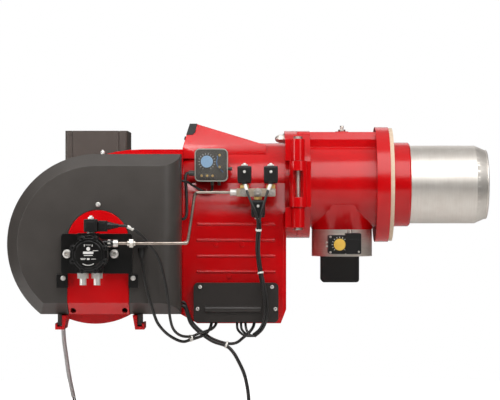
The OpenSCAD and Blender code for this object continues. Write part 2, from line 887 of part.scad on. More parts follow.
// Two feet under the hood that stand in the hooks of the housing
module hood_feet() {
    color(hood_grey) for (h = hook_places) translate([h[0], 0, 0]) {
        block([-4.2, -180, -280], [4.2, -130, hood_low]);
    }
}

// Black brackets that hold the hood beside the pump carrier
module hood_brackets() {
    color(plain_black) for (s = [[-68, -46, -55], [73, 92, 82]])
        translate([fan_x, 0, 0]) difference() {
            block([s[0], hood_y - 7, -204], [s[1], hood_y, -178]);
            translate([s[2], 0, -185]) rod_y(hood_y - 8, hood_y + 1, 4.2);
        }
}

// Screws of the hood: one over the arch, two in the brackets and one on top
module hood_screws() {
    color(zinc) {
        translate([hood_screw_at[0][0], 0, hood_screw_at[0][1]]) hood_screw(hood_y);
        for (i = [1, 2]) translate([hood_screw_at[i][0], 0, hood_screw_at[i][1]]) hood_screw(hood_y - 7);
        translate([fan_x + 19, -168, hood_top]) {
            cylinder(h = 6, d = 9);
            translate([0, 0, 6]) cylinder(h = 2, d = 5);
        }
    }
}

module hood_screw(face_y) {
    rod_y(face_y - 4.5, face_y, 9);
    rod_y(face_y, hood_y + 9, 4);
}

// The red cast carrier in the arch, which holds the pump plate in front of the fan
module pump_carrier() {
    wall = 5;
    color(cast_red) difference() {
        intersection() {
            hood_form(0, -wall_y);
            side_shape(hood_y - 1, -wall_y + 1) arch_outline(panel_gap);
        }
        intersection() {
            hood_form(wall, -wall_y + 1);
            side_shape(hood_y - 1, -wall_y + 2) arch_outline(panel_gap + wall);
        }
        translate([fan_x, 0, fan_z]) rod_y(hood_y - 1, hood_y + wall + 1, 54 + 2 * loose_fit);
        for (x = [arch_x - 51, arch_x + 51]) translate([x, 0, hood_low + 8])
            rod_y(hood_y - 1, hood_y + hood_bevel, 11);
        block([arch_x - arch_r - 1, -190, -225], [arch_x + arch_r + 1, -120, -125]);
    }
}

// Turning ring with windows that opens and closes the fan's inlet
module air_shutter() {
    y0 = -wall_y + cast_wall + 0.4;
    color(alloy) translate([fan_x, 0, fan_z]) difference() {
        rod_y(y0, y0 + 3, 2 * eye_r + 14);
        rod_y(y0 - 1, y0 + 4, 56 + 2 * run_fit);
        sector_windows(y0 - 1, y0 + 4);
    }
}

// Servomotor of the air shutter inside the hood, with the lead's gland on the hood's face
module air_servomotor() {
    color(plain_black) {
        block([servo_gland_x - 24, hood_y + hood_wall, -172], [servo_gland_x + 24, -150, -96]);
        translate([servo_gland_x, 0, servo_gland_z]) rod_y(hood_y, hood_y + hood_wall, 11.5);
        block([servo_gland_x - 12, hood_y - 20, servo_gland_z - 7],
            [servo_gland_x + 12, hood_y, servo_gland_z + 7]);
    }
    color("#4a3a30") translate([servo_gland_x, hood_y - 10, 0]) {
        rod_z(servo_gland_z - 15, servo_gland_z - 7, 13);
        translate([0, 0, servo_gland_z - 28]) cylinder(h = 13, d1 = 8, d2 = 13);
    }
}

// One forward curved fan blade: a thin arc between two radii
module blade_outline() {
    r0 = fan_r - 34;
    sweep = 24;
    thick = 1.6;
    n = 5;
    function arc_at(i, off) =
        let (u = i / n, r = r0 + (fan_r - 1 - r0) * u, a = sweep * u * u)
        [(r + 0) * cos(a) - off * sin(a), r * sin(a) + off * cos(a)];
    polygon(concat(
        [for (i = [0 : n]) arc_at(i, 0)],
        [for (i = [n : -1 : 0]) arc_at(i, thick)]
    ));
}

// Fan wheel: back plate with hub, curved blades and the inlet ring
module fan_wheel() {
    back = fan_y + fan_w;
    color(steel_grey) translate([fan_x, 0, fan_z]) {
        difference() {
            union() {
                rod_y(back, back + 3, fan_d);
                rod_y(back - 30, back + 3, 52);
            }
            rod_y(back - 31, back + 4, shaft_d);
        }
        ring_y(fan_y - 2, fan_y, fan_d, fan_d - 62);
        for (i = [0 : fan_blades - 1]) rotate([0, i * 360 / fan_blades, 0])
            translate([0, back + 1, 0]) rotate([90, 0, 0])
                linear_extrude(height = fan_w + 2) blade_outline();
    }
}

// Motor shaft with its key end and the cooling fan under the cowl
module motor_shaft() {
    color(zinc) translate([fan_x, 0, fan_z]) {
        rod_y(-150, motor_end_y + 34, shaft_d);
        translate([0, motor_end_y + 12, 0]) {
            rod_y(0, 3, motor_d - 20);
            for (a = [20 : 45 : 335]) rotate([0, a, 0]) block([12, 2, -1.2], [motor_d / 2 - 12, 18, 1.2]);
            rod_y(2, 20, shaft_d + 8);
        }
    }
}

// Flexible coupling between the motor shaft and the pump
module pump_coupling() {
    color("#3b6e9c") translate([fan_x, 0, fan_z]) difference() {
        union() {
            rod_y(-186, -128, 30);
            for (y = [-186, -138]) rod_y(y, y + 10, 38);
        }
        rod_y(-150, -127, shaft_d);
        rod_y(-187, -150, 11);
    }
}

// Pump shaft with the gear that works inside the pump body
module pump_rotor() {
    teeth = 9;
    color(zinc) translate([fan_x, 0, fan_z]) {
        rod_y(pump_front_y + 12, -160, 11);
        translate([0, pump_front_y + 30, 0]) rotate([90, 0, 0]) linear_extrude(height = 14) {
            circle(r = 14);
            for (a = [0 : 360 / teeth : 359]) rotate(a) translate([14, 0])
                polygon([[-2, -3.4], [3.6, -1.8], [3.6, 1.8], [-2, 3.4]]);
        }
    }
}

// Plate between the scroll and the motor
module motor_plate() {
    color(cast_red) translate([fan_x, 0, fan_z]) difference() {
        union() {
            rod_y(wall_y - 12, wall_y, 2 * motor_spigot_r);
            rod_y(wall_y, motor_y, 2 * motor_spigot_r + 18);
        }
        rod_y(wall_y - 13, motor_y + 1, shaft_d + 2 * run_fit);
        rod_y(wall_y - 13, wall_y - 4, 200);
        for (a = [30 : 60 : 330]) rotate([0, a, 0]) translate([motor_spigot_r + 4, 0, 0])
            rod_y(wall_y + 6, motor_y + 1, 8);
    }
}

// Motor frame with cooling fins along it
module motor_frame() {
    fin_w = 3;
    color("#6b6661") translate([fan_x, 0, fan_z]) difference() {
        union() {
            rod_y(motor_y, motor_y + 12, motor_d + 24);
            rod_y(motor_end_y - 8, motor_end_y, motor_d + 8);
            rod_y(motor_y, motor_end_y, motor_d);
            for (a = [0 : 12 : 348]) if (abs(a - 90) > 50) rotate([0, -a, 0])
                block([motor_r - 2, motor_y + 2, -fin_w / 2],
                    [motor_r + motor_fin_h, motor_end_y - 9, fin_w / 2]);
            block([-52, motor_y + 20, motor_r - 26], [52, motor_end_y - 30, motor_r + 4]);
        }
        rod_y(motor_y - 1, motor_end_y + 1, shaft_d + 2 * run_fit);
    }
}

// Sheet cowl over the motor's cooling fan
module motor_cowl() {
    wall = 2;
    l = 48;
    d = motor_d + 8 + 2 * wall;
    color("#4f4b47") translate([fan_x, 0, fan_z]) difference() {
        rod_y(motor_end_y - 8, motor_end_y + l, d);
        rod_y(motor_end_y - 9, motor_end_y + l - wall, motor_d + 8 + 0.2);
        for (x = [-54 : 12 : 54]) block([x - 3, motor_end_y, -50], [x + 3, motor_end_y + l + 1, 50]);
    }
}

// Control box on top of the motor: a base and a lid with darker end strips
module motor_control_box() {
    x0 = fan_x - 81;
    x1 = x0 + motor_box_w;
    y0 = motor_y + 16;
    y1 = motor_end_y - 18;
    base_z = fan_z + motor_r + 4;
    seam_z = base_z + 40;
    color("#5e534d") {
        plan_shape(base_z, seam_z) round_rect([x0 + 4, y0 + 4], [x1 - 4, y1 - 4], 6);
        translate([0, grey_lead[0][1], grey_lead[0][2]]) rod_x(grey_lead[0][0], x0 + 6, 18);
        difference() {
            plan_shape(seam_z, motor_box_top) round_rect([x0, y0], [x1, y1], 5);
            for (x = [x0 + 14, x1 - 19]) {
                block([x, y0 - 1, seam_z + 2], [x + 2, y0 + 1.5, motor_box_top + 1]);
                block([x, y0 - 1, motor_box_top - 1.5], [x + 2, y1 + 1, motor_box_top + 1]);
            }
        }
    }
}

// Plate that carries the pump, bolted to the pump carrier
module pump_plate() {
    color(plain_black) difference() {
        side_shape(plate_front_y, plate_y) round_rect(
            [fan_x - pump_plate_w / 2, fan_z - pump_plate_h / 2],
            [fan_x + pump_plate_w / 2 + pump_plate_wing, fan_z + pump_plate_h / 2], 5);
        translate([fan_x, 0, fan_z]) {
            rod_y(plate_front_y - 1, plate_y + 1, 54 + 2 * seat_gap);
            for (s = [-1, 1]) translate([s * pump_bolt_gap / 2, 0, 0])
                rod_y(plate_front_y - 1, plate_y + 1, 8);
        }
    }
}

// Pump body: spigot, ears, lobed barrel, foot for the hoses and port for the pipe
module pump_body() {
    port_y = pipe_y;
    color(plain_black) difference() {
        union() {
            translate([fan_x, 0, fan_z]) {
                rod_y(plate_front_y, hood_y + 8, 54);
                rod_y(pump_front_y, plate_front_y, pump_d - 4);
                for (a = [22.5 : 45 : 337.5]) rotate([0, a, 0])
                    translate([pump_r - 5.7, 0, 0]) rod_y(pump_front_y, pump_front_y + 26, 12);
                block([-pump_bolt_gap / 2 - 8, plate_front_y - 12, -8],
                    [pump_bolt_gap / 2 + 8, plate_front_y, 8]);
                block([-26, pump_front_y + 8, -pump_r + 2], [26, pump_front_y + 36, -20]);
                block([-22, pump_front_y + 4, 20], [18, pump_front_y + 34, pump_r + 3]);
                for (a = [-30, 0, 30]) rotate([0, a - 90, 0]) translate([pump_r - 4, 0, 0])
                    rod_y(plate_front_y - 30, plate_front_y - 14, 5);
            }
            translate([fan_x + 22, port_y, pipe_z]) rod_x(0, 24, 15);
        }
        translate([fan_x, 0, fan_z]) {
            rod_y(pump_front_y + 8, hood_y + 9, 11 + 2 * run_fit);
            rod_y(pump_front_y + 14, pump_front_y + 32, 37);
            for (s = [-1, 1]) translate([s * pump_bolt_gap / 2, 0, 0])
                rod_y(plate_front_y - 13, plate_front_y + 1, 8);
        }
    }
}

// Round pump cover with a raised centre and one cap screw in each lobe
module pump_cover() {
    translate([fan_x, 0, fan_z]) {
        color(plain_black) {
            rod_y(pump_front_y - 9, pump_front_y, pump_d - 12);
            for (a = [22.5 : 45 : 337.5]) rotate([0, a, 0])
                translate([pump_r - 5, 0, 0]) rod_y(pump_front_y - 7, pump_front_y, 12);
            rod_y(pump_front_y - 11, pump_front_y - 9, 53);
        }
        color("#2c2826") for (a = [22.5 : 45 : 337.5]) rotate([0, a, 0])
            translate([pump_r - 5, pump_front_y - 7, 0]) difference() {
                rod_y(-5, 0, 8);
                rotate([90, 0, 0]) translate([0, 0, 2.5]) linear_extrude(height = 3) hexagon(4);
            }
    }
}

// Two socket head bolts of the pump
module pump_bolts() {
    head_y = plate_front_y - 12;
    color(zinc) for (s = [-1, 1]) translate([fan_x + s * pump_bolt_gap / 2, 0, fan_z]) {
        rod_y(head_y - 2, head_y, 17);
        rod_y(head_y, plate_y, 8);
        difference() {
            rod_y(head_y - 9, head_y - 2, 13);
            translate([0, head_y - 5, 0]) rotate([90, 0, 0])
                linear_extrude(height = 6) hexagon(6);
        }
    }
}

// Two hose fittings in the pump's foot
module hose_fittings() {
    foot_z = fan_z - pump_r + 2;
    color(zinc) for (s = [-1, 1]) translate([fan_x + 1 + s * 13.5, pump_front_y + 22, 0]) {
        translate([0, 0, foot_z - 11]) linear_extrude(height = 11) hexagon(19);
        rod_z(foot_z - 24, foot_z - 11, 13);
    }
}

// Solenoid on the pump's top: coil, stem and nut
module pump_solenoid() {
    x = fan_x + 3;
    y = pump_front_y + 19;
    seat_z = fan_z + pump_r + 3;
    color(zinc) translate([x, y, 0]) {
        rod_z(seat_z, seat_z + 2, 16);
        translate([0, 0, seat_z + 27]) linear_extrude(height = 4) hexagon(11);
        rod_z(seat_z + 31, seat_z + 34, 6);
    }
    color(plain_black) block([x - 13, y - 15, seat_z + 2], [x + 13, y + 15, seat_z + 27]);
}

// Plug of the pump solenoid with its ribbed gland
module pump_plug() {
    x = fan_x + 16;
    y = pump_front_y + 19;
    z = fan_z + pump_r + 19;
    color(plain_black) {
        side_shape(y - 11, y + 11) round_rect([x, z - 13], [x + 19, z + 8], 2);
        translate([0, y, z - 2]) {
            rod_x(x + 19, x + 25, 15);
            for (i = [0 : 3]) cone_x(x + 25 + 4 * i, x + 29 + 4 * i, 14 - 1.6 * i, 11 - 1.6 * i);
        }
    }
}

// Oil pipe from the pump round the hood's corner to the valve block
pipe_points = [
    [-552, pipe_y, pipe_z], [-425, pipe_y, pipe_z], [-417, pipe_y + 3, pipe_z + 2],
    [-411, pipe_y + 12, pipe_z + 9], [-402, block_y - 14, block_z - 11],
    [-399, block_y - 4, block_z - 3], [-392, block_y, block_z], [-331, block_y, block_z]
];

module oil_pipe() {
    color(steel_grey) swept_tube(smooth_path(pipe_points, 3), pipe_d / 2, 12);
}

// Compression nuts at both ends of the pipe and the union along it
module pipe_nuts() {
    translate([0, pipe_y, pipe_z]) {
        pipe_nut(fan_x + 46, 10, 17);
        color("#e8e4de") ring_x(fan_x + 56, fan_x + 70, 13, pipe_d + 2 * run_fit);
        pipe_nut(-526, 10, 15);
        color(zinc) ring_x(-531, -526, 11, pipe_d + 2 * run_fit);
        color(zinc) ring_x(-516, -511, 11, pipe_d + 2 * run_fit);
    }
    translate([0, block_y, block_z]) color("#e8e4de") ring_x(-331, -318, 14, pipe_d + 2 * run_fit);
}

module pipe_nut(x, l, flats) {
    color(zinc) difference() {
        translate([x, 0, 0]) rotate([0, 90, 0]) linear_extrude(height = l) hexagon(flats);
        rod_x(x - 1, x + l + 1, pipe_d + 2 * run_fit);
    }
}

// Steel block that joins the three oil valves, with its foot on the housing and its plugs
module valve_block() {
    x = [-318, -240];
    half_h = 8;
    half_d = 11;
    color("#b59b80") difference() {
        union() {
            block([x[0], block_y - half_d, block_z - half_h], [x[1], block_y + half_d, block_z + half_h]);
            for (fx = block_foot_x) translate([fx, 0, block_z]) rod_y(block_y + half_d, block_seat_y, 12);
        }
        for (cx = [coil_x[0], coil_x[1], coil_low_x]) translate([cx, block_y, 0])
            rod_z(block_z - 3, block_z + 3, 4);
    }
    color(zinc) for (px = [-303, -275.5, -248.5]) translate([px, block_y - half_d, block_z]) {
        rotate([90, 0, 0]) linear_extrude(height = 6) hexagon(14);
        rod_y(-8, -6, 8);
    }
}

// Brass stems that carry the coils on the block
module valve_stems() {
    color(brass) {
        for (x = coil_x) translate([x, block_y, 0]) {
            translate([0, 0, block_z + 8]) linear_extrude(height = 8) hexagon(18);
            rod_z(block_z + 16, coil_z, 12);
        }
        translate([coil_low_x, block_y, 0]) {
            translate([0, 0, block_z - 14]) linear_extrude(height = 6) hexagon(16);
            rod_z(coil_low_z, block_z - 14, 12);
        }
    }
}

// Three solenoid coils with their plugs and end nuts
module solenoid_coils() {
    for (x = coil_x) translate([x, block_y, 0]) {
        coil(coil_z);
        translate([0, 0, coil_z + coil_h]) coil_nut();
    }
    translate([coil_low_x, block_y, 0]) {
        coil(coil_low_z - coil_h);
        translate([0, 0, coil_low_z - coil_h]) mirror([0, 0, 1]) coil_nut();
    }
}

// One coil, its plug towards the front, the plug's screw and its gland
module coil(z) {
    half = coil_w / 2;
    h = coil_h;
    color(plain_black) {
        plan_shape(z, z + h) round_rect([-half + 1, -14], [half - 1, 16], 2);
        difference() {
            side_shape(-36, -14) round_rect([-half, z + 3], [half, z + h - 1], 2.5);
            translate([0, 0, z + 23]) rod_y(-37, -34, 6);
        }
        translate([0, -30, 0]) rod_z(z - 1, z + 3, 11);
    }
    color(zinc) translate([0, 0, z + 23]) rod_y(-35.5, -34, 5.5);
}

module coil_nut() {
    color(zinc) {
        linear_extrude(height = 3) hexagon(13);
        translate([0, 0, 3]) cylinder(h = 3, d1 = 9, d2 = 5);
    }
}

// Flame sensor on the far side of the mixing tube
module flame_sensor() {
    color(plain_black) translate([sensor_x, 0, sensor_z]) {
        rod_y(sensor_seat_y, 96, 26);
        rod_y(96, 128, 20);
        translate([0, 128, 0]) rod_y(0, 6, 14);
    }
}

// Air pressure switch: base with its gland, side tab and nipples
air_switch_x = [-402, -335];
air_switch_z = [4.6, 71];
air_switch_y = [air_pad_y - 22, air_pad_y];

module air_switch_body() {
    color("#6d6a66") difference() {
        union() {
            side_shape(air_switch_y[0], air_switch_y[1]) round_rect(
                [air_switch_x[0], air_switch_z[0]], [air_switch_x[1], air_switch_z[1]], 10);
            translate([0, air_switch_y[1] - 11, 31]) rod_x(air_switch_x[1], air_switch_x[1] + 8, 7);
            translate([0, air_switch_y[0] + 11, 22]) rod_x(air_switch_x[0] - 12, air_switch_x[0], 11);
        }
        air_dial_place() rod_y(-1, 14, 6 + 2 * run_fit);
        side_shape(air_switch_y[0] - 1, air_switch_y[0] + 1) round_rect(
            [air_switch_x[0] + 4, air_switch_z[0] + 4], [air_switch_x[1] - 4, air_switch_z[1] - 4], 7);
    }
    color(soft_beige) for (dx = [-1, 1]) translate([-360 + 7 * dx, air_switch_y[0] + 11, 0])
        rod_z(air_switch_z[0] - 7, air_switch_z[0], 7);
}

// Clear cover over the air switch's dial
module air_switch_cover() {
    depth = 22;
    wall = 2;
    color("white", 0.3) difference() {
        side_shape(air_switch_y[0] - depth, air_switch_y[0]) round_rect(
            [air_switch_x[0], air_switch_z[0]], [air_switch_x[1], air_switch_z[1]], 10);
        side_shape(air_switch_y[0] - depth + wall, air_switch_y[0] + 1) round_rect(
            [air_switch_x[0] + wall, air_switch_z[0] + wall],
            [air_switch_x[1] - wall, air_switch_z[1] - wall], 8);
    }
}

module air_dial_place() {
    translate([-377.6, air_switch_y[0] + 1, 45]) children();
}

module air_switch_dial() {
    color("#98acc4") air_dial_place() translate([0, -6, 0]) dial(12.8, 6);
}

// Dark cover over the housing's cable box, with its round bar and open foot
module cable_cover() {
    x = [-404, -234];
    z = [-277, -198];
    front = -wall_y - 22;
    color("#342c29") difference() {
        union() {
            side_shape(front, -wall_y) round_rect([x[0], z[0]], [x[1], z[1]], 9);
            translate([0, front + 1, -251]) rod_x(-381, -269, 14);
        }
        side_shape(front + 3, -wall_y - 1.5) round_rect([x[0] + 3, z[0] + 3], [x[1] - 3, z[1] - 3], 6);
        for (p = cable_slots) block([p[0], front + 4, z[0] - 1], [p[1], -wall_y - 3, z[0] + 4]);
        for (s = cover_screw_at) translate([s[0], 0, s[1]]) rod_y(front - 1, front + 4, 4.4);
    }
    color(zinc) for (s = cover_screw_at) translate([s[0], 0, s[1]]) {
        rod_y(front - 2, front, 8);
        rod_y(front, -wall_y - 1.5, 4.4);
    }
}

cable_slots = [[-372, -352], [-330, -262]];
cover_screw_at = [[-391, -206], [-247, -206], [-396, -250], [-240, -250]];

// Ties round the leads and tags on them
module cable_ties() {
    color("#f2efe9") {
        tie_at([-409, -160, -306.5], 18.5, 90);
        tie_at([-338, -129, -321.5], 19.5, 90);
        tie_at([-274, -172, -91], 14.5, 0);
        tie_at([-270, -136, -177], 14, 0);
    }
}

// One tie of inner diameter d, tilted to lie round its leads
module tie_at(p, d, tilt) {
    translate(p) rotate([0, tilt, 0]) {
        difference() {
            cylinder(h = 4, d = d + 3, center = true);
            cylinder(h = 5, d = d, center = true);
        }
        translate([d / 2 + 0.6, -2.5, -2.5]) cube([5, 5, 5]);
    }
}

// Leads that the housing holds all the way, each between two of its own parts
pump_lead = [
    [-545, -270, -82], [-530, -269, -83], [-512, -262, -92], [-491, -248, -113],
    [-469, -238, -146], [-457, -231, -190], [-451, -226, -228], [-448, -214, -262],
    [-442, -198, -286], [-428, -180, -300], [-408, -162, -303], [-392, -158, -297],
    [-378, -148, -293], [-368, -134, -290], [-361, -122, -284], [-358, -116, -276], [-358, -116, -270]
];
servo_lead = [
    [-503, -225, -146], [-498, -225, -180], [-489, -225, -221], [-477, -216, -262],
    [-468, -208, -280], [-453, -192, -297], [-435, -176, -309], [-422, -164, -313],
    [-410, -158, -310], [-396, -152, -306], [-385, -146, -302], [-377, -133, -297],
    [-371, -121, -289], [-368, -115, -278], [-368, -115, -270]
];
hood_lead = [
    [-427.5, -122, -236], [-422, -122, -239], [-417, -122, -252], [-410, -122, -272], [-397, -122, -288],
    [-383, -122, -299], [-364, -124, -311], [-338, -126, -319], [-319, -126, -318],
    [-305, -124, -308], [-293, -120, -298], [-284, -117, -285], [-282, -116, -270]
];
switch_lead = [
    [-414.05, -101, 22], [-417, -101, 22], [-420.5, -102.5, 18], [-421, -105.5, 8], [-419, -110, -12],
    [-418, -115, -40], [-418, -119, -58], [-421, -122, -68], [-427.5, -122, -71]
];
coil_lead_1 = [
    [-301, -165, 0], [-298, -171, -12], [-288, -179, -38], [-279, -181, -60], [-275.5, -176, -76]
];
coil_lead_2 = [
    [-250, -165, 0], [-255, -171, -12], [-263, -179, -38], [-269, -181, -60], [-272.5, -176, -76]
];
coil_lead_3 = [[-275, -165, -68], [-275, -168, -74], [-274, -172, -82]];
coil_trunk = [
    [-274, -174, -74], [-274, -172, -91], [-275, -163, -110], [-275, -148, -130],
    [-273, -138, -152], [-270, -136, -177], [-265, -140, -204], [-260, -144, -232],
    [-259, -146, -256], [-262, -144, -276], [-270, -141, -292], [-283, -138, -303]
];
coil_end_1 = [
    [-282, -135, -303], [-291, -131, -302], [-298, -123, -292], [-300, -117, -280], [-300, -116, -270]
];
coil_end_2 = [
    [-282, -138, -303], [-296, -137, -301], [-307, -125, -292], [-309, -117, -280], [-309, -116, -270]
];
coil_end_3 = [
    [-282, -141, -303], [-302, -143, -302], [-315, -126, -292], [-317, -117, -280], [-317, -116, -270]
];
hose_path = [
    [-427.4, -122, 6], [-422, -122, 6], [-414, -117, 3], [-404, -111, -4], [-392, -106, -11],
    [-380, -102.5, -16], [-371, -101, -15], [-367, -101, -10], [-367, -101, -2.6]
];

// Free supply leads, hanging down
black_lead = [
    [-427.5, -134, -243], [-421, -134, -246], [-416, -134, -259], [-410, -134, -277], [-397, -134, -292],
    [-383, -134, -303], [-364, -133, -315], [-338, -132, -324], [-324, -136, -337],
    [-313, -138, -356], [-303, -140, -378], [-297, -140, -402], [-294, -140, -424], [-293, -140, -446]
];
grey_lead = [
    [-697, 200, -26], [-702, 200, -26], [-709, 199, -32], [-713.5, 197.5, -50], [-714, 194, -90],
    [-710, 190, -140],
    [-704, 184, -190], [-697, 176, -240], [-691, 169, -290], [-688, 165, -331],
    [-682, 162, -373], [-677, 160, -405], [-667, 158, -452]
];

module held_leads() {
    color(cable_black) {
        swept_tube(pump_lead, 2.8);
        swept_tube(servo_lead, 3);
        swept_tube(hood_lead, 3);
        swept_tube(switch_lead, 3);
        for (p = [coil_lead_1, coil_lead_2, coil_lead_3]) swept_tube(p, 2.5);
        swept_tube(coil_trunk, 6);
        for (p = [coil_end_1, coil_end_2, coil_end_3]) swept_tube(p, 2.5);
    }
}

module switch_hose() {
    color(cable_black) swept_tube(hose_path, 2.5);
}

module supply_lead_black() {
    color(cable_black) swept_tube(black_lead, 3.5);
}

module supply_lead_grey() {
    color(cable_grey) swept_tube(grey_lead, 4.5);
}

head_casting();
flange_gasket();
spigot_ring();
flame_tube();
gas_ring();
diffuser_plate();
nozzle_rod();
ignition_electrodes();
split_seal();
test_nipples();
gas_valve_body();
gas_butterfly();
gas_servomotor();
gas_pressure_switch();
gas_switch_dial();
burner_housing();
hinge_pin();
closing_screws();
viewing_hood();
display_cap();
display_button_1();
display_button_2();
display_button_3();
sound_hood();
hood_feet();
hood_brackets();
hood_screws();
pump_carrier();
air_shutter();
air_servomotor();
fan_wheel();
motor_shaft();
pump_coupling();
pump_rotor();
motor_plate();
motor_frame();
motor_cowl();
motor_control_box();
pump_plate();
pump_body();
pump_cover();
pump_bolts();
hose_fittings();
pump_solenoid();
pump_plug();
oil_pipe();
pipe_nuts();
valve_block();
valve_stems();
solenoid_coils();
flame_sensor();
air_switch_body();
air_switch_cover();
air_switch_dial();
cable_cover();
cable_ties();
held_leads();
switch_hose();
supply_lead_black();
supply_lead_grey();
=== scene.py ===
"""Visual model of an industrial dual fuel burner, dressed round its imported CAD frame.

Each sub-assembly is a class with its sizes as fields. It builds its meshes with bmesh, gives them
their finishes and hangs them on the body that carries them. Sizes are in metres, in the CAD frame:
X runs along the flame tube, Z is up and the oil pump is on the -Y side.
"""
import logging
import math
from dataclasses import dataclass, field
from enum import Enum
from typing import Any, Iterable, Optional, Sequence

import bmesh
import bpy
from mathutils import Matrix, Vector


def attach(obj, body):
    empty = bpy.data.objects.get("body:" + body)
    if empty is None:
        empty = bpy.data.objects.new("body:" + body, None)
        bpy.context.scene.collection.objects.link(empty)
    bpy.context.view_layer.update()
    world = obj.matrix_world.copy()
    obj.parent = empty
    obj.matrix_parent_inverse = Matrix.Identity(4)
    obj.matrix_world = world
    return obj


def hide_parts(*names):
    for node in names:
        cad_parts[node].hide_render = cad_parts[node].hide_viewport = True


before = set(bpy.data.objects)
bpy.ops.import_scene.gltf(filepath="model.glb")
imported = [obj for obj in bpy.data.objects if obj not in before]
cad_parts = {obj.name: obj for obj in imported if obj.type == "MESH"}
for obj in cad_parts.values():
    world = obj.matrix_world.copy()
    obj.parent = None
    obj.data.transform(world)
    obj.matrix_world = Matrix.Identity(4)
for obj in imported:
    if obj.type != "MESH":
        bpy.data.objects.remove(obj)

LOG = logging.getLogger("burner")
MM = 0.001
Point = tuple[float, float, float]
Outline = Sequence[tuple[float, float]]
Block = tuple[Point, Point, float, int]

# Angles in degrees from which an edge stays sharp, on milled, CAD, lead and pipe shapes.
EDGE_ANGLE = 32.0
CAD_EDGE_ANGLE = 26.0
LEAD_EDGE_ANGLE = 50.0
PIPE_EDGE_ANGLE = 60.0
# Points nearer than this are one, in a CAD node's triangles and where a turned shape closes.
CAD_MERGE = 0.01 * MM
TURNED_MERGE = 0.001 * MM
# A point this near to a plane lies on it.
ON_FACE = 0.0001 * MM
PLASTIC_IOR = 1.5


class Body(Enum):
    """The bodies of the frame that pieces ride on."""

    HEAD = "head"
    GAS_DIAL = "gas_dial"
    GAS_VALVE = "gas_valve"
    HOUSING = "housing"
    ROTOR = "rotor"
    SHUTTER = "shutter"
    AIR_DIAL = "air_dial"
    BUTTON_1 = "button_1"
    BUTTON_2 = "button_2"
    BUTTON_3 = "button_3"


class Axis(Enum):
    """An axis that a shape or a grain runs along."""

    X = "X"
    Y = "Y"
    Z = "Z"

    def way(self) -> Vector:
        """The axis as a unit vector."""
        return Vector([1.0 if name == self.value else 0.0 for name in "XYZ"])

    def turn(self) -> Matrix:
        """The rotation that lays a shape made along Z along this axis.

        Returns:
            The rotation's matrix.
        """
        if self is Axis.X:
            return Matrix.Rotation(math.pi / 2, 4, "Y")
        if self is Axis.Y:
            return Matrix.Rotation(-math.pi / 2, 4, "X")
        return Matrix.Identity(4)


def linear(colour: str, alpha: float = 1.0) -> tuple[float, float, float, float]:
    """Turns an sRGB hex colour into linear values for a shader.

    Args:
        colour: Colour as "#rrggbb".
        alpha: Opacity that goes with it.

    Returns:
        Red, green, blue and alpha, linear.
    """
    parts = [int(colour[i:i + 2], 16) / 255 for i in (1, 3, 5)]
    low = [v / 12.92 if v <= 0.04045 else ((v + 0.055) / 1.055) ** 2.4 for v in parts]
    return (low[0], low[1], low[2], alpha)


def add(tree: Any, kind: str, settings: Optional[dict] = None, links: Optional[dict] = None) -> Any:
    """Adds one shader node with its settings and links.

    Args:
        tree: Node tree that gets the node.
        kind: Name of the node type without the word ShaderNode.
        settings: Attributes by name, and input values by socket name or number.
        links: Output sockets by the name or number of the input they go to.

    Returns:
        The new node.
    """
    node = tree.nodes.new("ShaderNode" + kind)
    for key, value in (settings or {}).items():
        if isinstance(key, str) and hasattr(node, key) and key not in node.inputs:
            setattr(node, key, value)
        else:
            node.inputs[key].default_value = value
    for key, source in (links or {}).items():
        tree.links.new(source, node.inputs[key])
    return node


def new_material(name: str) -> tuple[Any, Any, Any]:
    """Starts an empty node material.

    Args:
        name: The material's name.

    Returns:
        The material, its node tree and its output node.
    """
    material = bpy.data.materials.new(name)
    material.use_nodes = True
    material.node_tree.nodes.clear()
    return material, material.node_tree, add(material.node_tree, "OutputMaterial")


class Tint(Enum):
    """The pattern that moves a finish's colour between its two shades."""

    CLOUDS = "clouds"
    GRAIN = "grain"
    BOTH = "both"


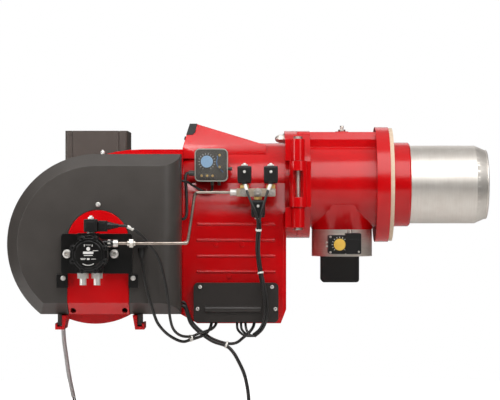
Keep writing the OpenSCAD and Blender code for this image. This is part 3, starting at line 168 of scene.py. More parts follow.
@dataclass(frozen=True)
class Finish:
    """An opaque finish: its colour drifts in wide clouds, and a fine grain dulls and roughens it.

    Sizes are real ones in metres. A grain that would be finer than a pixel of the picture is drawn
    coarser, so that it still breaks up the light as the real one does.
    """

    name: str
    colour: str
    deep: str
    roughness: float
    grain: float
    depth: float
    edge: float
    stretch: Point = (1.0, 1.0, 1.0)
    sheen: float = 0.0
    clouds: float = 45 * MM
    shine: Optional[float] = None
    octaves: tuple[float, float, float] = (3.0, 3.0, 3.0)
    fine_share: float = 0.55
    tint: Tint = Tint.CLOUDS
    tint_span: tuple[float, float] = (0.3, 0.7)
    dulling: tuple[float, float] = (-0.05, 0.07)
    bare_metal: bool = False

    def make(self) -> Any:
        """Builds the material.

        Returns:
            The new material.
        """
        material, tree, out = new_material(self.name)
        place = add(tree, "TexCoord").outputs["Object"]
        drawn = add(tree, "Mapping", {"Scale": self.stretch}, {"Vector": place}).outputs[0]
        clouds, shine, grain = (
            add(
                tree,
                "TexNoise",
                {"Scale": 1 / size, "Detail": octaves, "Roughness": share},
                {"Vector": vector},
            ).outputs[0]
            for size, octaves, share, vector in (
                (self.clouds, self.octaves[0], Finish.fine_share, place),
                (self.shine or self.grain, self.octaves[1], self.fine_share, drawn),
                (self.grain, self.octaves[2], self.fine_share, drawn),
            )
        )
        tint = grain if self.tint is Tint.GRAIN else clouds
        if self.tint is Tint.BOTH:
            tint = add(tree, "Math", {"operation": "MULTIPLY"}, {0: clouds, 1: grain}).outputs[0]
        low, high = self.tint_span
        share = add(tree, "MapRange", {"From Min": low, "From Max": high}, {"Value": tint})
        shades = {"data_type": "RGBA", 6: linear(self.deep), 7: linear(self.colour)}
        low, high = Finish.tint_span
        less, more = self.dulling
        dull = add(
            tree,
            "MapRange",
            {"From Min": low, "From Max": high,
             "To Min": self.roughness + less, "To Max": self.roughness + more},
            {"Value": shine},
        )
        # Real castings and mouldings have no razor edges, so each edge catches a line of light.
        edges = add(tree, "Bevel", {"samples": 4, "Radius": self.edge})
        relief = add(
            tree,
            "Bump",
            {"Strength": 1.0, "Distance": self.depth},
            {"Height": grain, "Normal": edges.outputs[0]},
        )
        dressed = {"IOR": PLASTIC_IOR, "Sheen Weight": self.sheen}
        shader = add(
            tree,
            "BsdfPrincipled",
            {"Metallic": 1.0} if self.bare_metal else dressed,
            {
                "Base Color": add(tree, "Mix", shades, {0: share.outputs[0]}).outputs[2],
                "Roughness": dull.outputs[0],
                "Normal": relief.outputs[0],
            },
        )
        tree.links.new(shader.outputs[0], out.inputs[0])
        return material


@dataclass(frozen=True)
class Enamel(Finish):
    """Gloss enamel on a casting: the film pulls into a fine orange peel and reflects softly."""

    roughness: float = 0.2
    grain: float = 2.6 * MM
    depth: float = 0.025 * MM
    edge: float = 1.4 * MM
    clouds: float = 60 * MM
    shine: Optional[float] = 14 * MM
    octaves: tuple[float, float, float] = (2.0, 3.0, 2.0)
    dulling: tuple[float, float] = (-0.04, 0.05)


@dataclass(frozen=True)
class Coat(Finish):
    """Satin powder coat or moulded plastic: a dull skin with a fine even grain."""

    roughness: float = 0.5
    grain: float = 0.9 * MM
    depth: float = 0.03 * MM
    edge: float = 0.8 * MM


@dataclass(frozen=True)
class Metal(Finish):
    """Bare metal, brushed, turned or cast: fine scratches along one direction break its mirror."""

    roughness: float = 0.3
    grain: float = 0.6 * MM
    depth: float = 0.012 * MM
    edge: float = 0.5 * MM
    clouds: float = 35 * MM
    octaves: tuple[float, float, float] = (3.0, 4.0, 4.0)
    fine_share: float = 0.65
    tint: Tint = Tint.BOTH
    tint_span: tuple[float, float] = (0.12, 0.38)
    dulling: tuple[float, float] = (-0.07, 0.1)
    bare_metal: bool = True


@dataclass(frozen=True)
class Fibre(Finish):
    """Pressed fibre board or rope: short felted threads with a rough dull surface."""

    roughness: float = 0.9
    grain: float = 1.6 * MM
    depth: float = 0.25 * MM
    edge: float = 0.6 * MM
    stretch: Point = (0.35, 1.0, 1.0)
    sheen: float = 0.15
    octaves: tuple[float, float, float] = (3.0, 4.0, 4.0)
    fine_share: float = 0.7
    tint: Tint = Tint.GRAIN
    dulling: tuple[float, float] = (0.0, 0.0)


@dataclass(frozen=True)
class Clear:
    """Clear moulded polycarbonate: it tints what lies behind a little and shows its thick edges."""

    name: str
    tint: str
    roughness: float = 0.06
    haze: float = 0.06
    haze_size: float = 9 * MM
    ior: float = 1.58

    def make(self) -> Any:
        """Builds the material.

        Returns:
            The new material.
        """
        material, tree, out = new_material(self.name)
        clouds = add(
            tree,
            "TexNoise",
            {"Scale": 1 / self.haze_size, "Detail": 3.0, "Roughness": 0.55},
            {"Vector": add(tree, "TexCoord").outputs["Object"]},
        )
        dull = add(
            tree,
            "MapRange",
            {"From Min": 0.3, "From Max": 0.7,
             "To Min": self.roughness, "To Max": self.roughness + self.haze},
            {"Value": clouds.outputs[0]},
        )
        film = add(
            tree,
            "BsdfPrincipled",
            {"Base Color": linear(self.tint), "IOR": self.ior, "Specular IOR Level": 0.6},
            {"Roughness": dull.outputs[0]},
        )
        through = add(tree, "BsdfTransparent", {"Color": linear("#f4f4f2")})
        # The film shows most where it is seen edge on, as in the cover's thick walls.
        rim = add(tree, "LayerWeight", {"Blend": 0.3})
        share = add(
            tree,
            "MapRange",
            {"From Min": 0.15, "From Max": 0.95, "To Min": 0.03, "To Max": 0.6},
            {"Value": rim.outputs["Facing"]},
        )
        mixed = add(
            tree,
            "MixShader",
            links={0: share.outputs[0], 1: through.outputs[0], 2: film.outputs[0]},
        )
        tree.links.new(mixed.outputs[0], out.inputs[0])
        return material


Skin = Finish | Clear

# How far a metal's grain is drawn out along each axis: the smaller the share, the longer.
BRUSHED_ROUND = (1.0, 0.03, 0.03)
TURNED_LEVEL = (0.04, 0.04, 1.0)
DRAWN_ALONG = (0.08, 1.0, 1.0)
SAWN_ALONG = (0.1, 1.0, 1.0)

# Gloss enamel over castings: saturated red with soft, slightly wavy highlights.
RED = Enamel("red_gloss_enamel", "#cf060d", "#c3050b")
# Satin powder coat on the sound hood: warm near-black with a broad, dull shine.
HOOD_COAT = Coat(
    "hood_satin_powder_coat", "#413d3a", "#3b3734", 0.36, 1.1 * MM, 0.02 * MM, 1.2 * MM
)
# The same coat on the motor's cowl and control box, a little browner and duller.
BOX_COAT = Coat("box_satin_powder_coat", "#4d4640", "#463f39", 0.42, 1.1 * MM, 0.02 * MM)
# Satin powder coat on the cable box's cover: a flat, dark face with a dull shine.
COVER_COAT = Coat("cover_satin_powder_coat", "#2b2623", "#25201d", 0.4, 1.1 * MM, 0.02 * MM)
# Grey paint over a ribbed casting: mid grey, uneven and dull.
MOTOR_COAT = Coat("motor_grey_paint", "#6b6661", "#5f5a56", 0.5, 1.8 * MM, 0.08 * MM)
# Black paint over a rough casting: the grain shows through as small broken glints.
BLACK_CAST = Coat(
    "black_paint_on_casting", "#0e0c0b", "#080706", 0.32, 1.6 * MM, 0.1 * MM, 0.9 * MM
)
# Moulded nylon: an even black that only shines along its rounded edges.
BLACK_NYLON = Coat("black_moulded_nylon", "#110f0e", "#0c0b0a", 0.42, 0.8 * MM, 0.02 * MM, 0.7 * MM)
# Moulded white nylon: warm white with a soft shine.
WHITE_NYLON = Coat("white_moulded_nylon", "#f0ede7", "#e2ded6", 0.4)
# Glazed ceramic: smooth white with sharp small highlights.
CERAMIC = Coat("glazed_ceramic", "#f1eee8", "#e6e2da", 0.15, 2.0 * MM, 0.005 * MM)
# Moulded dial plastic, in a muted yellow and a pale blue: even colour and a satin shine.
YELLOW = Coat("yellow_dial_plastic", "#ebc15a", "#dcae42", 0.38)
BLUE = Coat("pale_blue_dial_plastic", "#acd2fb", "#9cc6f4", 0.38)
# Moulded grey plastic: flat mid grey behind the clear cover, and on the leads' stripped cores.
BASE_GREY = Coat("grey_moulded_base", "#5c5854", "#504c49", 0.5)
# Coupling rubber: dull blue, almost without a highlight.
COUPLING_BLUE = Coat("blue_coupling_rubber", "#3b6e9c", "#33618b", 0.55)
# Extruded cable sheaths: a long highlight down each lead, softened by a slight bloom.
SHEATH = Coat(
    "black_cable_sheath", "#181513", "#110f0d", 0.36, 1.5 * MM, 0.02 * MM, 0.3 * MM, sheen=0.1
)
GREY_SHEATH = Coat(
    "grey_cable_sheath", "#bcbbb9", "#acabaa", 0.45, 1.5 * MM, 0.02 * MM, 0.3 * MM, sheen=0.1
)
# Printed ink: flat off-white marks.
INK = Coat("white_print_ink", "#e9e7e3", "#d9d6d1", 0.5)
# Wire insulation: soft blue, seen through the clear cover.
BLUE_WIRE = Coat("blue_wire_sheath", "#5d86b8", "#4d76a8", 0.4)
# Stainless steel brushed round the tube: fine lines blur its highlight into broad bands.
# The lines are drawn coarser than real ones, which are too fine for the picture to show.
FLAME_STEEL = Metal(
    "brushed_flame_steel", "#e6e1da", "#dad3cb", 0.43, 1.4 * MM, 0.006 * MM, stretch=BRUSHED_ROUND
)
# Galvanised sheet: pale grey with broad, cloudy patches.
FAN_STEEL = Metal("galvanised_sheet", "#c4c2bd", "#a5a39e", 0.36, 5 * MM)
# Die-cast alloy, turned: bright but not glossy, with fine level rings.
VALVE_ALLOY = Metal(
    "turned_die_casting", "#f0e9e0", "#d8cfc5", 0.52, 1.6 * MM, stretch=TURNED_LEVEL
)
# Zinc plating on steel: a pale, slightly warm metal with a soft cloudy shine.
ZINC = Metal("zinc_plated_steel", "#e3ded6", "#d2cbc2", 0.42, 2 * MM, 0.004 * MM)
# Bright plating on nuts and screw heads, which read almost white under the soft lamps.
WHITE_ZINC = Metal("bright_zinc_nut", "#f6f4f0", "#e9e5df", 0.5, 3 * MM, 0.004 * MM)
# Drawn steel pipe: darker, with a sharper line of light along each run.
PIPE_STEEL = Metal("drawn_steel_pipe", "#b9ada3", "#93877d", 0.3, 1.5 * MM, stretch=DRAWN_ALONG)
# Turned brass: pale yellow metal with a soft glow.
BRASS = Metal("turned_brass", "#ffdf92", "#ecc878", 0.5, 2 * MM, 0.004 * MM)
# Sawn steel bar: warm and matt, with fine lines along it.
BLOCK_METAL = Metal(
    "sawn_steel_block", "#e6d5c0", "#c8b59d", 0.5, 1.2 * MM, 0.01 * MM, stretch=SAWN_ALONG
)
# Pressed fibre gasket: a sandy rim with short threads and no shine.
GASKET = Fibre("pressed_gasket_fibre", "#e8d3bb", "#d5bda0")
# Fibre rope in the split between the castings: coarse, grey and dull.
ROPE = Fibre("seal_rope", "#95918a", "#7d7973", grain=2.5 * MM)
# A pale grey bead along the clear cover's rim: painted highlight, standing in for the line of light
# that the cover's edge catches.
PAINTED_RIM_HIGHLIGHT = Coat("painted_highlight_cover_bead", "#c3bfb9", "#b2aea8", 0.45)
# Clear polycarbonate: what lies behind shows, a little veiled, with brighter edges.
CLEAR = Clear("clear_polycarbonate", "#d6d3cf")


class Paintbox:
    """Makes each material once and hands it out by its finish."""

    def __init__(self) -> None:
        """Starts with no material made."""
        self.made: dict[str, Any] = {}

    def get(self, finish: Skin) -> Any:
        """The material of a finish, made at its first use.

        Args:
            finish: The finish.

        Returns:
            Its material.
        """
        if finish.name not in self.made:
            self.made[finish.name] = finish.make()
        return self.made[finish.name]


PAINT = Paintbox()


def hang(obj: Any, finish: Skin, body: Body, nodes: Sequence[str] = ()) -> Any:
    """Gives a piece its finish, its body and the CAD nodes that it stands for.

    Args:
        obj: The piece.
        finish: Its finish.
        body: The body that it rides on.
        nodes: CAD nodes that it replaces.

    Returns:
        The piece.
    """
    obj.data.materials.clear()
    obj.data.materials.append(PAINT.get(finish))
    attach(obj, body.value)
    if nodes:
        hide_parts(*nodes)
    LOG.info("%s rides on %s", obj.name, body.value)
    return obj


# A facet belongs to a turned surface if it is this far out, leans this much away from the axis,
# has this share of its normal in the plane of the axis, and fits the true surface this well.
SMALLEST_ROUND = 4 * MM
LEAST_LEAN = 0.1
LEAST_IN_PLANE = 0.985
LEAST_TRUE = 0.975
ROUND_TOLERANCE = 0.05 * MM


@dataclass(frozen=True)
class Round:
    """An axis that turned or cast surfaces curve about."""

    axis: Axis
    base: Point

    def split(self, point: Vector) -> tuple[Vector, float]:
        """Splits a point's place into its way out from the axis and its place along it.

        Args:
            point: The point.

        Returns:
            The vector out from the axis, and the distance along the axis from its base.
        """
        way = self.axis.way()
        from_base = point - Vector(self.base)
        along = from_base.dot(way)
        return from_base - way * along, along

    def normals(self, corners: Sequence[Vector], flat: Vector) -> Optional[list[Vector]]:
        """True normals of a facet's corners, if it lies on a cylinder or cone about this axis.

        Args:
            corners: The facet's corner points.
            flat: The facet's flat normal.

        Returns:
            One normal per corner, or nothing if the facet isn't part of such a surface.
        """
        way = self.axis.way()
        middle, _ = self.split(sum(corners, Vector()) / len(corners))
        if middle.length < SMALLEST_ROUND:
            return None
        out_share, way_share = flat.dot(middle.normalized()), flat.dot(way)
        if abs(out_share) < LEAST_LEAN or out_share ** 2 + way_share ** 2 < LEAST_IN_PLANE:
            return None
        result, levels = [], []
        for corner in corners:
            out, along = self.split(corner)
            levels.append(out.length * out_share + along * way_share)
            result.append((out.normalized() * out_share + way * way_share).normalized())
        off_level = max(levels) - min(levels) > ROUND_TOLERANCE
        return None if off_level or min(n.dot(flat) for n in result) < LEAST_TRUE else result


# Axes of the flame tube, the gas neck, the hinge, the fan and pump, the sound hood and its arch.
ROUNDS = (
    Round(Axis.X, (0.0, 0.0, 0.0)),
    Round(Axis.Z, (-102 * MM, 0.0, 0.0)),
    Round(Axis.Z, (-195 * MM, -135 * MM, 0.0)),
    Round(Axis.Y, (-602 * MM, 0.0, -137 * MM)),
    Round(Axis.Y, (-594 * MM, 0.0, -119 * MM)),
    Round(Axis.Y, (-589 * MM, 0.0, -112 * MM)),
)


def set_normals(mesh: Any, smooth: float, rounds: Sequence[Round] = ()) -> None:
    """Gives a mesh normals that keep flat faces flat and round ones evenly round.

    Args:
        mesh: The mesh.
        smooth: Angle in degrees up to which neighbouring faces share a normal.
        rounds: Axes whose surfaces get their exact normals.
    """
    limit = math.cos(math.radians(smooth))
    around: dict[int, list[tuple[Vector, float]]] = {}
    for face in mesh.polygons:
        for v in face.vertices:
            around.setdefault(v, []).append((face.normal.copy(), face.area))
    normals: list[Vector] = []
    for face in mesh.polygons:
        flat = face.normal.copy()
        corners = [mesh.vertices[v].co for v in face.vertices]
        exact = next((n for n in (r.normals(corners, flat) for r in rounds) if n), None)
        if exact:
            normals.extend(exact)
            continue
        for v in face.vertices:
            shared = sum((n * a for n, a in around[v] if n.dot(flat) > limit), flat * 1e-12)
            normals.append(shared.normalized())
    mesh.shade_smooth()
    mesh.normals_split_custom_set(normals)


def to_object(name: str, bm: Any, smooth: float = EDGE_ANGLE, rounds: Sequence[Round] = ()) -> Any:
    """Turns a bmesh into an object, smooth except at edges sharper than an angle.

    Args:
        name: The piece's name.
        bm: The bmesh, which is freed.
        smooth: Angle in degrees from which an edge stays sharp.
        rounds: Axes whose surfaces get their exact normals.

    Returns:
        The new object.
    """
    mesh = bpy.data.meshes.new(name)
    bm.to_mesh(mesh)
    bm.free()
    set_normals(mesh, smooth, rounds)
    obj = bpy.data.objects.new(name, mesh)
    bpy.context.scene.collection.objects.link(obj)
    return obj


def smooth_copy(node: str, finish: Skin, body: Body) -> Any:
    """A copy of a CAD node with its loose triangles merged, so that it shades smoothly.

    Args:
        node: The CAD node that the piece replaces.
        finish: Its finish.
        body: The body that it rides on.

    Returns:
        The new piece, named for the node with a suffix.
    """
    bm = bmesh.new()
    bm.from_mesh(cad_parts[node].data)
    bmesh.ops.remove_doubles(bm, verts=bm.verts, dist=CAD_MERGE)
    return hang(to_object(node + "_skin", bm, CAD_EDGE_ANGLE, ROUNDS), finish, body, [node])


def smooth_copies(body: Body, *rows: tuple[str, Skin, str]) -> None:
    """Makes smooth copies of the CAD nodes that ride on one body.

    Args:
        body: The body.
        rows: Node, finish and slot of each copy.
    """
    for node, finish, slot in rows:
        smooth_copy(node, finish, body)


def in_mm(outline: Outline) -> Outline:
    """Turns an outline in millimetres into metres."""
    return [(a * MM, b * MM) for a, b in outline]


def near(at: Point, off: Point) -> Point:
    """The point that is some millimetres off another."""
    return tuple(a + b * MM for a, b in zip(at, off))


def box_mesh(size: Point) -> Any:
    """A box round the origin.

    Args:
        size: Its size along each axis.

    Returns:
        Its bmesh.
    """
    part = bmesh.new()
    bmesh.ops.create_cube(part, size=1.0)
    bmesh.ops.scale(part, vec=size, verts=part.verts)
    return part


def break_edges(part: Any, edges: Sequence[Any], width: float, steps: int) -> None:
    """Bevels some edges of a part.

    Args:
        part: bmesh of the part.
        edges: The edges.
        width: Width of the bevel.
        steps: Segments of the bevel.
    """
    bmesh.ops.bevel(
        part, geom=edges, offset=width, segments=steps, affect="EDGES", profile=0.5,
        clamp_overlap=True, material=-1,
    )


class Workpiece:
    """A mesh that is put together from turned, milled and cut shapes."""

    def __init__(self, name: str) -> None:
        """Starts an empty workpiece.

        Args:
            name: Name of the piece that it becomes.
        """
        self.name = name
        self.bm = bmesh.new()

    def take(self, part: Any, bevel: float = 0.0, angle: float = 30.0, steps: int = 2) -> None:
        """Adds a part's mesh with its sharp edges bevelled.

        Args:
            part: bmesh of the part, which is freed.
            bevel: Width of the bevel, or 0 for none.
            angle: Edges that turn more than this many degrees are bevelled.
            steps: Segments of the bevel.
        """
        bmesh.ops.recalc_face_normals(part, faces=part.faces)
        if bevel:
            sharp = [
                e for e in part.edges
                if len(e.link_faces) == 2 and e.calc_face_angle(0) > math.radians(angle)
            ]
            break_edges(part, sharp, bevel, steps)
        mesh = bpy.data.meshes.new("part")
        part.to_mesh(mesh)
        part.free()
        self.bm.from_mesh(mesh)
        bpy.data.meshes.remove(mesh)

    def rod(
        self, base: Point, length: float, r: float, axis: Axis = Axis.Z,
        end_r: Optional[float] = None, bevel: float = 0.0, sides: int = 48, turn: float = 0.0,
    ) -> None:
        """A rod, cone or polygon bar from a base point along an axis.

        Args:
            base: Centre of its first end.
            length: Its length, negative to run backwards.
            r: Radius at the base.
            axis: Axis that it runs along.
            end_r: Radius at the far end, or nothing for the same.
            bevel: Width of the bevel at its edges.
            sides: Number of sides.
            turn: Turn about its own axis, in degrees.
        """
        part = bmesh.new()
        bmesh.ops.create_cone(
            part, cap_ends=True, segments=sides, radius1=r,
            radius2=r if end_r is None else end_r, depth=abs(length),
        )
        bmesh.ops.translate(part, verts=part.verts, vec=(0, 0, abs(length) / 2))
        flip = Matrix.Identity(4) if length > 0 else Matrix.Rotation(math.pi, 4, "X")
        place = Matrix.Translation(base) @ axis.turn() @ flip
        bmesh.ops.transform(
            part, matrix=place @ Matrix.Rotation(math.radians(turn), 4, "Z"), verts=part.verts
        )
        self.take(part, bevel, 40.0 if sides > 12 else 25.0)

    def hexagon(
        self, base: Point, length: float, flats: float, axis: Axis, bevel: float = 0.5 * MM
    ) -> None:
        """A hexagon bar of a width across flats."""
        self.rod(base, length, flats / 2 / math.cos(math.pi / 6), axis, bevel=bevel, sides=6)

    def slab(self, low: Point, high: Point, bevel: float = 0.6 * MM, steps: int = 2) -> None:
        """A block between two corners, with its edges broken.

        Args:
            low: Corner with the lesser coordinates.
            high: The opposite corner.
            bevel: Width of the bevel.
            steps: Segments of the bevel.
        """
        part = box_mesh([h - l for l, h in zip(low, high)])
        middle = [(h + l) / 2 for l, h in zip(low, high)]
        bmesh.ops.translate(part, vec=middle, verts=part.verts)
        self.take(part, bevel, 30.0, steps)

    def blocks(self, at: Point, rows: Sequence[Block]) -> None:
        """Blocks with their edges broken, placed from a point.

        Args:
            at: The point.
            rows: For each, its two corners from that point, the width of its bevel in
                millimetres, and the segments of the bevel.
        """
        for low, high, bevel, steps in rows:
            self.slab(near(at, low), near(at, high), bevel * MM, steps)

    def plate(
        self, outline: Outline, y0: float, y1: float, bevel: float = 0.8 * MM, steps: int = 2,
        front_only: bool = False,
    ) -> None:
        """A plate cut to an outline in X and Z, from y0 to y1.

        Args:
            outline: Corner points in X and Z.
            y0: Front face.
            y1: Back face.
            bevel: Width of the edge bevel.
            steps: Segments of the bevel.
            front_only: Whether only the front rim is bevelled.
        """
        part = bmesh.new()
        ring = [part.verts.new((x, y1, z)) for x, z in outline]
        face = part.faces.new(ring)
        grown = bmesh.ops.extrude_face_region(part, geom=[face])["geom"]
        moved = [v for v in grown if isinstance(v, bmesh.types.BMVert)]
        bmesh.ops.translate(part, verts=moved, vec=(0, y0 - y1, 0))
        bmesh.ops.recalc_face_normals(part, faces=part.faces)
        if front_only and bevel:
            rim = [e for e in part.edges if all(abs(v.co.y - y0) < ON_FACE for v in e.verts)]
            break_edges(part, rim, bevel, steps)
            bevel = 0.0
        self.take(part, bevel, 40.0, steps)

    def turned(self, profile: Outline, centre: Point, axis: Axis, steps: int = 72) -> None:
        """A turned shape: a closed or open profile of radius and height spun about an axis.

        Args:
            profile: Radius and height of each point.
            centre: Origin of the profile.
            axis: Axis that it is spun about.
            steps: Number of steps round.
        """
        part = bmesh.new()
        points = [part.verts.new((r, 0, h)) for r, h in profile]
        edges = [part.edges.new(pair) for pair in zip(points, points[1:])]
        bmesh.ops.spin(
            part, geom=points + edges, cent=(0, 0, 0), axis=(0, 0, 1), angle=2 * math.pi,
            steps=steps, use_merge=True,
        )
        bmesh.ops.remove_doubles(part, verts=part.verts, dist=TURNED_MERGE)
        bmesh.ops.transform(part, matrix=Matrix.Translation(centre) @ axis.turn(), verts=part.verts)
        self.take(part)

    def tube(self, points: Sequence[Point], r: float, sides: int = 12) -> None:
        """A round bar or wire swept along points with flat ends.

        Args:
            points: Points of its middle line, in metres.
            r: Its radius.
            sides: Number of sides.
        """
        path = [Vector(p) for p in points]
        part = bmesh.new()
        rings = []
        level_start = abs((path[1] - path[0]).normalized().y) < 0.8
        up = Vector((0, 1, 0)) if level_start else Vector((0, 0, 1))
        for i, here in enumerate(path):
            ahead = (path[min(i + 1, len(path) - 1)] - path[max(i - 1, 0)]).normalized()
            side = ahead.cross(up).normalized()
            up = side.cross(ahead).normalized()
            turn = Matrix((side, up, ahead)).transposed().to_4x4()
            ring = bmesh.ops.create_circle(
                part, segments=sides, radius=r, matrix=Matrix.Translation(here) @ turn
            )["verts"]
            rings.append(ring)
        for first, second in zip(rings, rings[1:]):
            loops = [e for ring in (first, second) for v in ring for e in v.link_edges
                     if e.other_vert(v) in ring]
            bmesh.ops.bridge_loops(part, edges=list(set(loops)))
        bmesh.ops.holes_fill(part, edges=part.edges, sides=sides)
        self.take(part)

    def done(
        self, finish: Skin, body: Body, nodes: Sequence[str] = (),
        smooth: float = EDGE_ANGLE,
    ) -> Any:
        """Makes the piece.

        Args:
            finish: Its finish.
            body: The body that it rides on.
            nodes: CAD nodes that it replaces.
            smooth: Angle in degrees from which an edge stays sharp.

        Returns:
            The piece.
        """
        return hang(to_object(self.name, self.bm, smooth), finish, body, nodes)


def round_outline(x0: float, z0: float, x1: float, z1: float, r: float, steps: int = 6) -> Outline:
    """Outline of a rectangle with round corners, in X and Z.

    Args:
        x0: Its least X.
        z0: Its least Z.
        x1: Its greatest X.
        z1: Its greatest Z.
        r: Radius of the corners.
        steps: Steps round each corner.

    Returns:
        Points of the outline.
    """
    points = []
    corners = (
        (x1 - r, z1 - r, 0), (x0 + r, z1 - r, 90), (x0 + r, z0 + r, 180), (x1 - r, z0 + r, 270),
    )
    for cx, cz, start in corners:
        for i in range(steps + 1):
            a = math.radians(start + 90 * i / steps)
            points.append((cx + r * math.cos(a), cz + r * math.sin(a)))
    return points


@dataclass(frozen=True)
class Lamp:
    """A soft area lamp: where it stands and points, its width and height, and its watts."""

    name: str
    at: Point
    to: Point
    size: tuple[float, float]
    power: float

    def light(self) -> None:
        """Adds the lamp, which the camera doesn't see."""
        data = bpy.data.lights.new(self.name, "AREA")
        data.shape = "RECTANGLE"
        data.size, data.size_y = self.size
        data.energy = self.power
        obj = bpy.data.objects.new(self.name, data)
        bpy.context.scene.collection.objects.link(obj)
        obj.location = self.at
        obj.rotation_euler = (Vector(self.to) - Vector(self.at)).to_track_quat("-Z", "Y").to_euler()
        obj.visible_camera = False


@dataclass
class Studio:
    """Camera at the photograph's angle, soft lamps and a plain pale floor."""

    camera_at: Point = (-0.291, -4.5, -0.032)
    lens: float = 157.3
    sensor_w: float = 36.0
    far: float = 50.0
    floor_at: Point = (-0.3, 0.05, -0.53)
    floor_r: float = 1.6
    floor_glow: float = 0.7
    sky_strength: tuple[float, float] = (0.03, 0.6)
    sky_height: tuple[float, float] = (0.4, 0.95)
    lamps: Sequence[Lamp] = (
        Lamp("key_softbox", (0.16, -0.7, 0.64), (-0.1, -0.1, 0.0), (1.3, 0.75), 9.4),
        Lamp("strip_over_hood", (-0.62, -0.47, 0.3), (-0.62, -0.18, -0.08), (0.5, 0.1), 1.5),
        Lamp("front_softbox", (1.3, -2.0, 0.3), (-0.2, 0.0, -0.05), (0.9, 0.7), 4.0),
        Lamp("left_softbox", (-1.25, -0.5, 0.05), (-0.72, -0.2, -0.08), (0.3, 0.9), 3.8),
        Lamp("low_fill", (-0.4, -1.3, -0.48), (-0.4, 0.0, -0.2), (1.6, 0.3), 0.9),
        Lamp("back_softbox", (-0.3, 2.0, 1.1), (-0.3, 0.1, -0.1), (2.4, 1.2), 9.0),
    )

    def build(self) -> None:
        """Sets up the whole studio."""
        scene = bpy.context.scene
        scene.view_settings.view_transform = "Standard"
        self.camera(scene)
        self.world(scene)
        self.floor()
        for lamp in self.lamps:
            lamp.light()

    def camera(self, scene: Any) -> None:
        """Adds the camera, level and square to the pump's side.

        Args:
            scene: The scene that it serves.
        """
        data = bpy.data.cameras.new("camera")
        data.lens = self.lens
        data.sensor_width = self.sensor_w
        data.clip_end = self.far
        camera = bpy.data.objects.new("camera", data)
        scene.collection.objects.link(camera)
        camera.location = self.camera_at
        camera.rotation_euler = (math.pi / 2, 0.0, 0.0)
        scene.camera = camera

    def world(self, scene: Any) -> None:
        """White surroundings for the camera, and a soft sky that grows brighter upwards.

        Args:
            scene: The scene that it surrounds.
        """
        world = bpy.data.worlds.new("studio")
        scene.world = world
        world.use_nodes = True
        tree = world.node_tree
        tree.nodes.clear()
        out = add(tree, "OutputWorld")
        seen = add(tree, "Background", {"Color": (1.0, 1.0, 1.0, 1.0), "Strength": 1.0})
        way = add(tree, "SeparateXYZ", links={0: add(tree, "TexCoord").outputs["Generated"]})
        (dim, bright), (low, high) = self.sky_strength, self.sky_height
        sky = add(
            tree,
            "MapRange",
            {"From Min": low, "From Max": high, "To Min": dim, "To Max": bright},
            {"Value": way.outputs[2]},
        )
        soft = add(
            tree, "Background", {"Color": (1.0, 0.99, 0.98, 1.0)}, {"Strength": sky.outputs[0]}
        )
        ray = add(tree, "LightPath")
        clear = add(
            tree,
            "Math",
            {"operation": "MAXIMUM"},
            {0: ray.outputs["Is Camera Ray"], 1: ray.outputs["Is Transmission Ray"]},
        )
        mixed = add(
            tree, "MixShader", links={0: clear.outputs[0], 1: soft.outputs[0], 2: seen.outputs[0]}
        )
        tree.links.new(mixed.outputs[0], out.inputs[0])

    def floor(self) -> None:
        """A pale round floor that keeps the object's shadow and meets the white surroundings."""
        material, tree, out = new_material("pale_floor")
        matt = add(tree, "BsdfDiffuse", {"Color": linear("#f4f3f1")})
        glow = add(
            tree, "Emission", {"Color": (1.0, 1.0, 1.0, 1.0), "Strength": self.floor_glow}
        )
        both = add(tree, "AddShader", links={0: matt.outputs[0], 1: glow.outputs[0]})
        seen = add(tree, "LightPath").outputs["Is Camera Ray"]
        mixed = add(tree, "MixShader", links={0: seen, 1: matt.outputs[0], 2: both.outputs[0]})
        tree.links.new(mixed.outputs[0], out.inputs[0])
        bm = bmesh.new()
        bmesh.ops.create_circle(bm, cap_ends=True, segments=96, radius=self.floor_r)
        bmesh.ops.translate(bm, verts=bm.verts, vec=self.floor_at)
        obj = to_object("floor", bm)
        obj.data.materials.append(material)


def through(points: Sequence[Point], steps: int = 6) -> list[Vector]:
    """A smooth path through points, given in millimetres.

    Args:
        points: The points.
        steps: Steps between two points.

    Returns:
        Points of the path in metres.
    """
    p = [Vector(q) * MM for q in points]
    path = []
    for i in range(len(p) - 1):
        a, b, c, d = p[max(i - 1, 0)], p[i], p[i + 1], p[min(i + 2, len(p) - 1)]
        for s in range(steps):
            u = s / steps
            path.append(0.5 * (
                2 * b + (c - a) * u + (2 * a - 5 * b + 4 * c - d) * u ** 2
                + (3 * b - a - 3 * c + d) * u ** 3
            ))
    return path + [p[-1]]


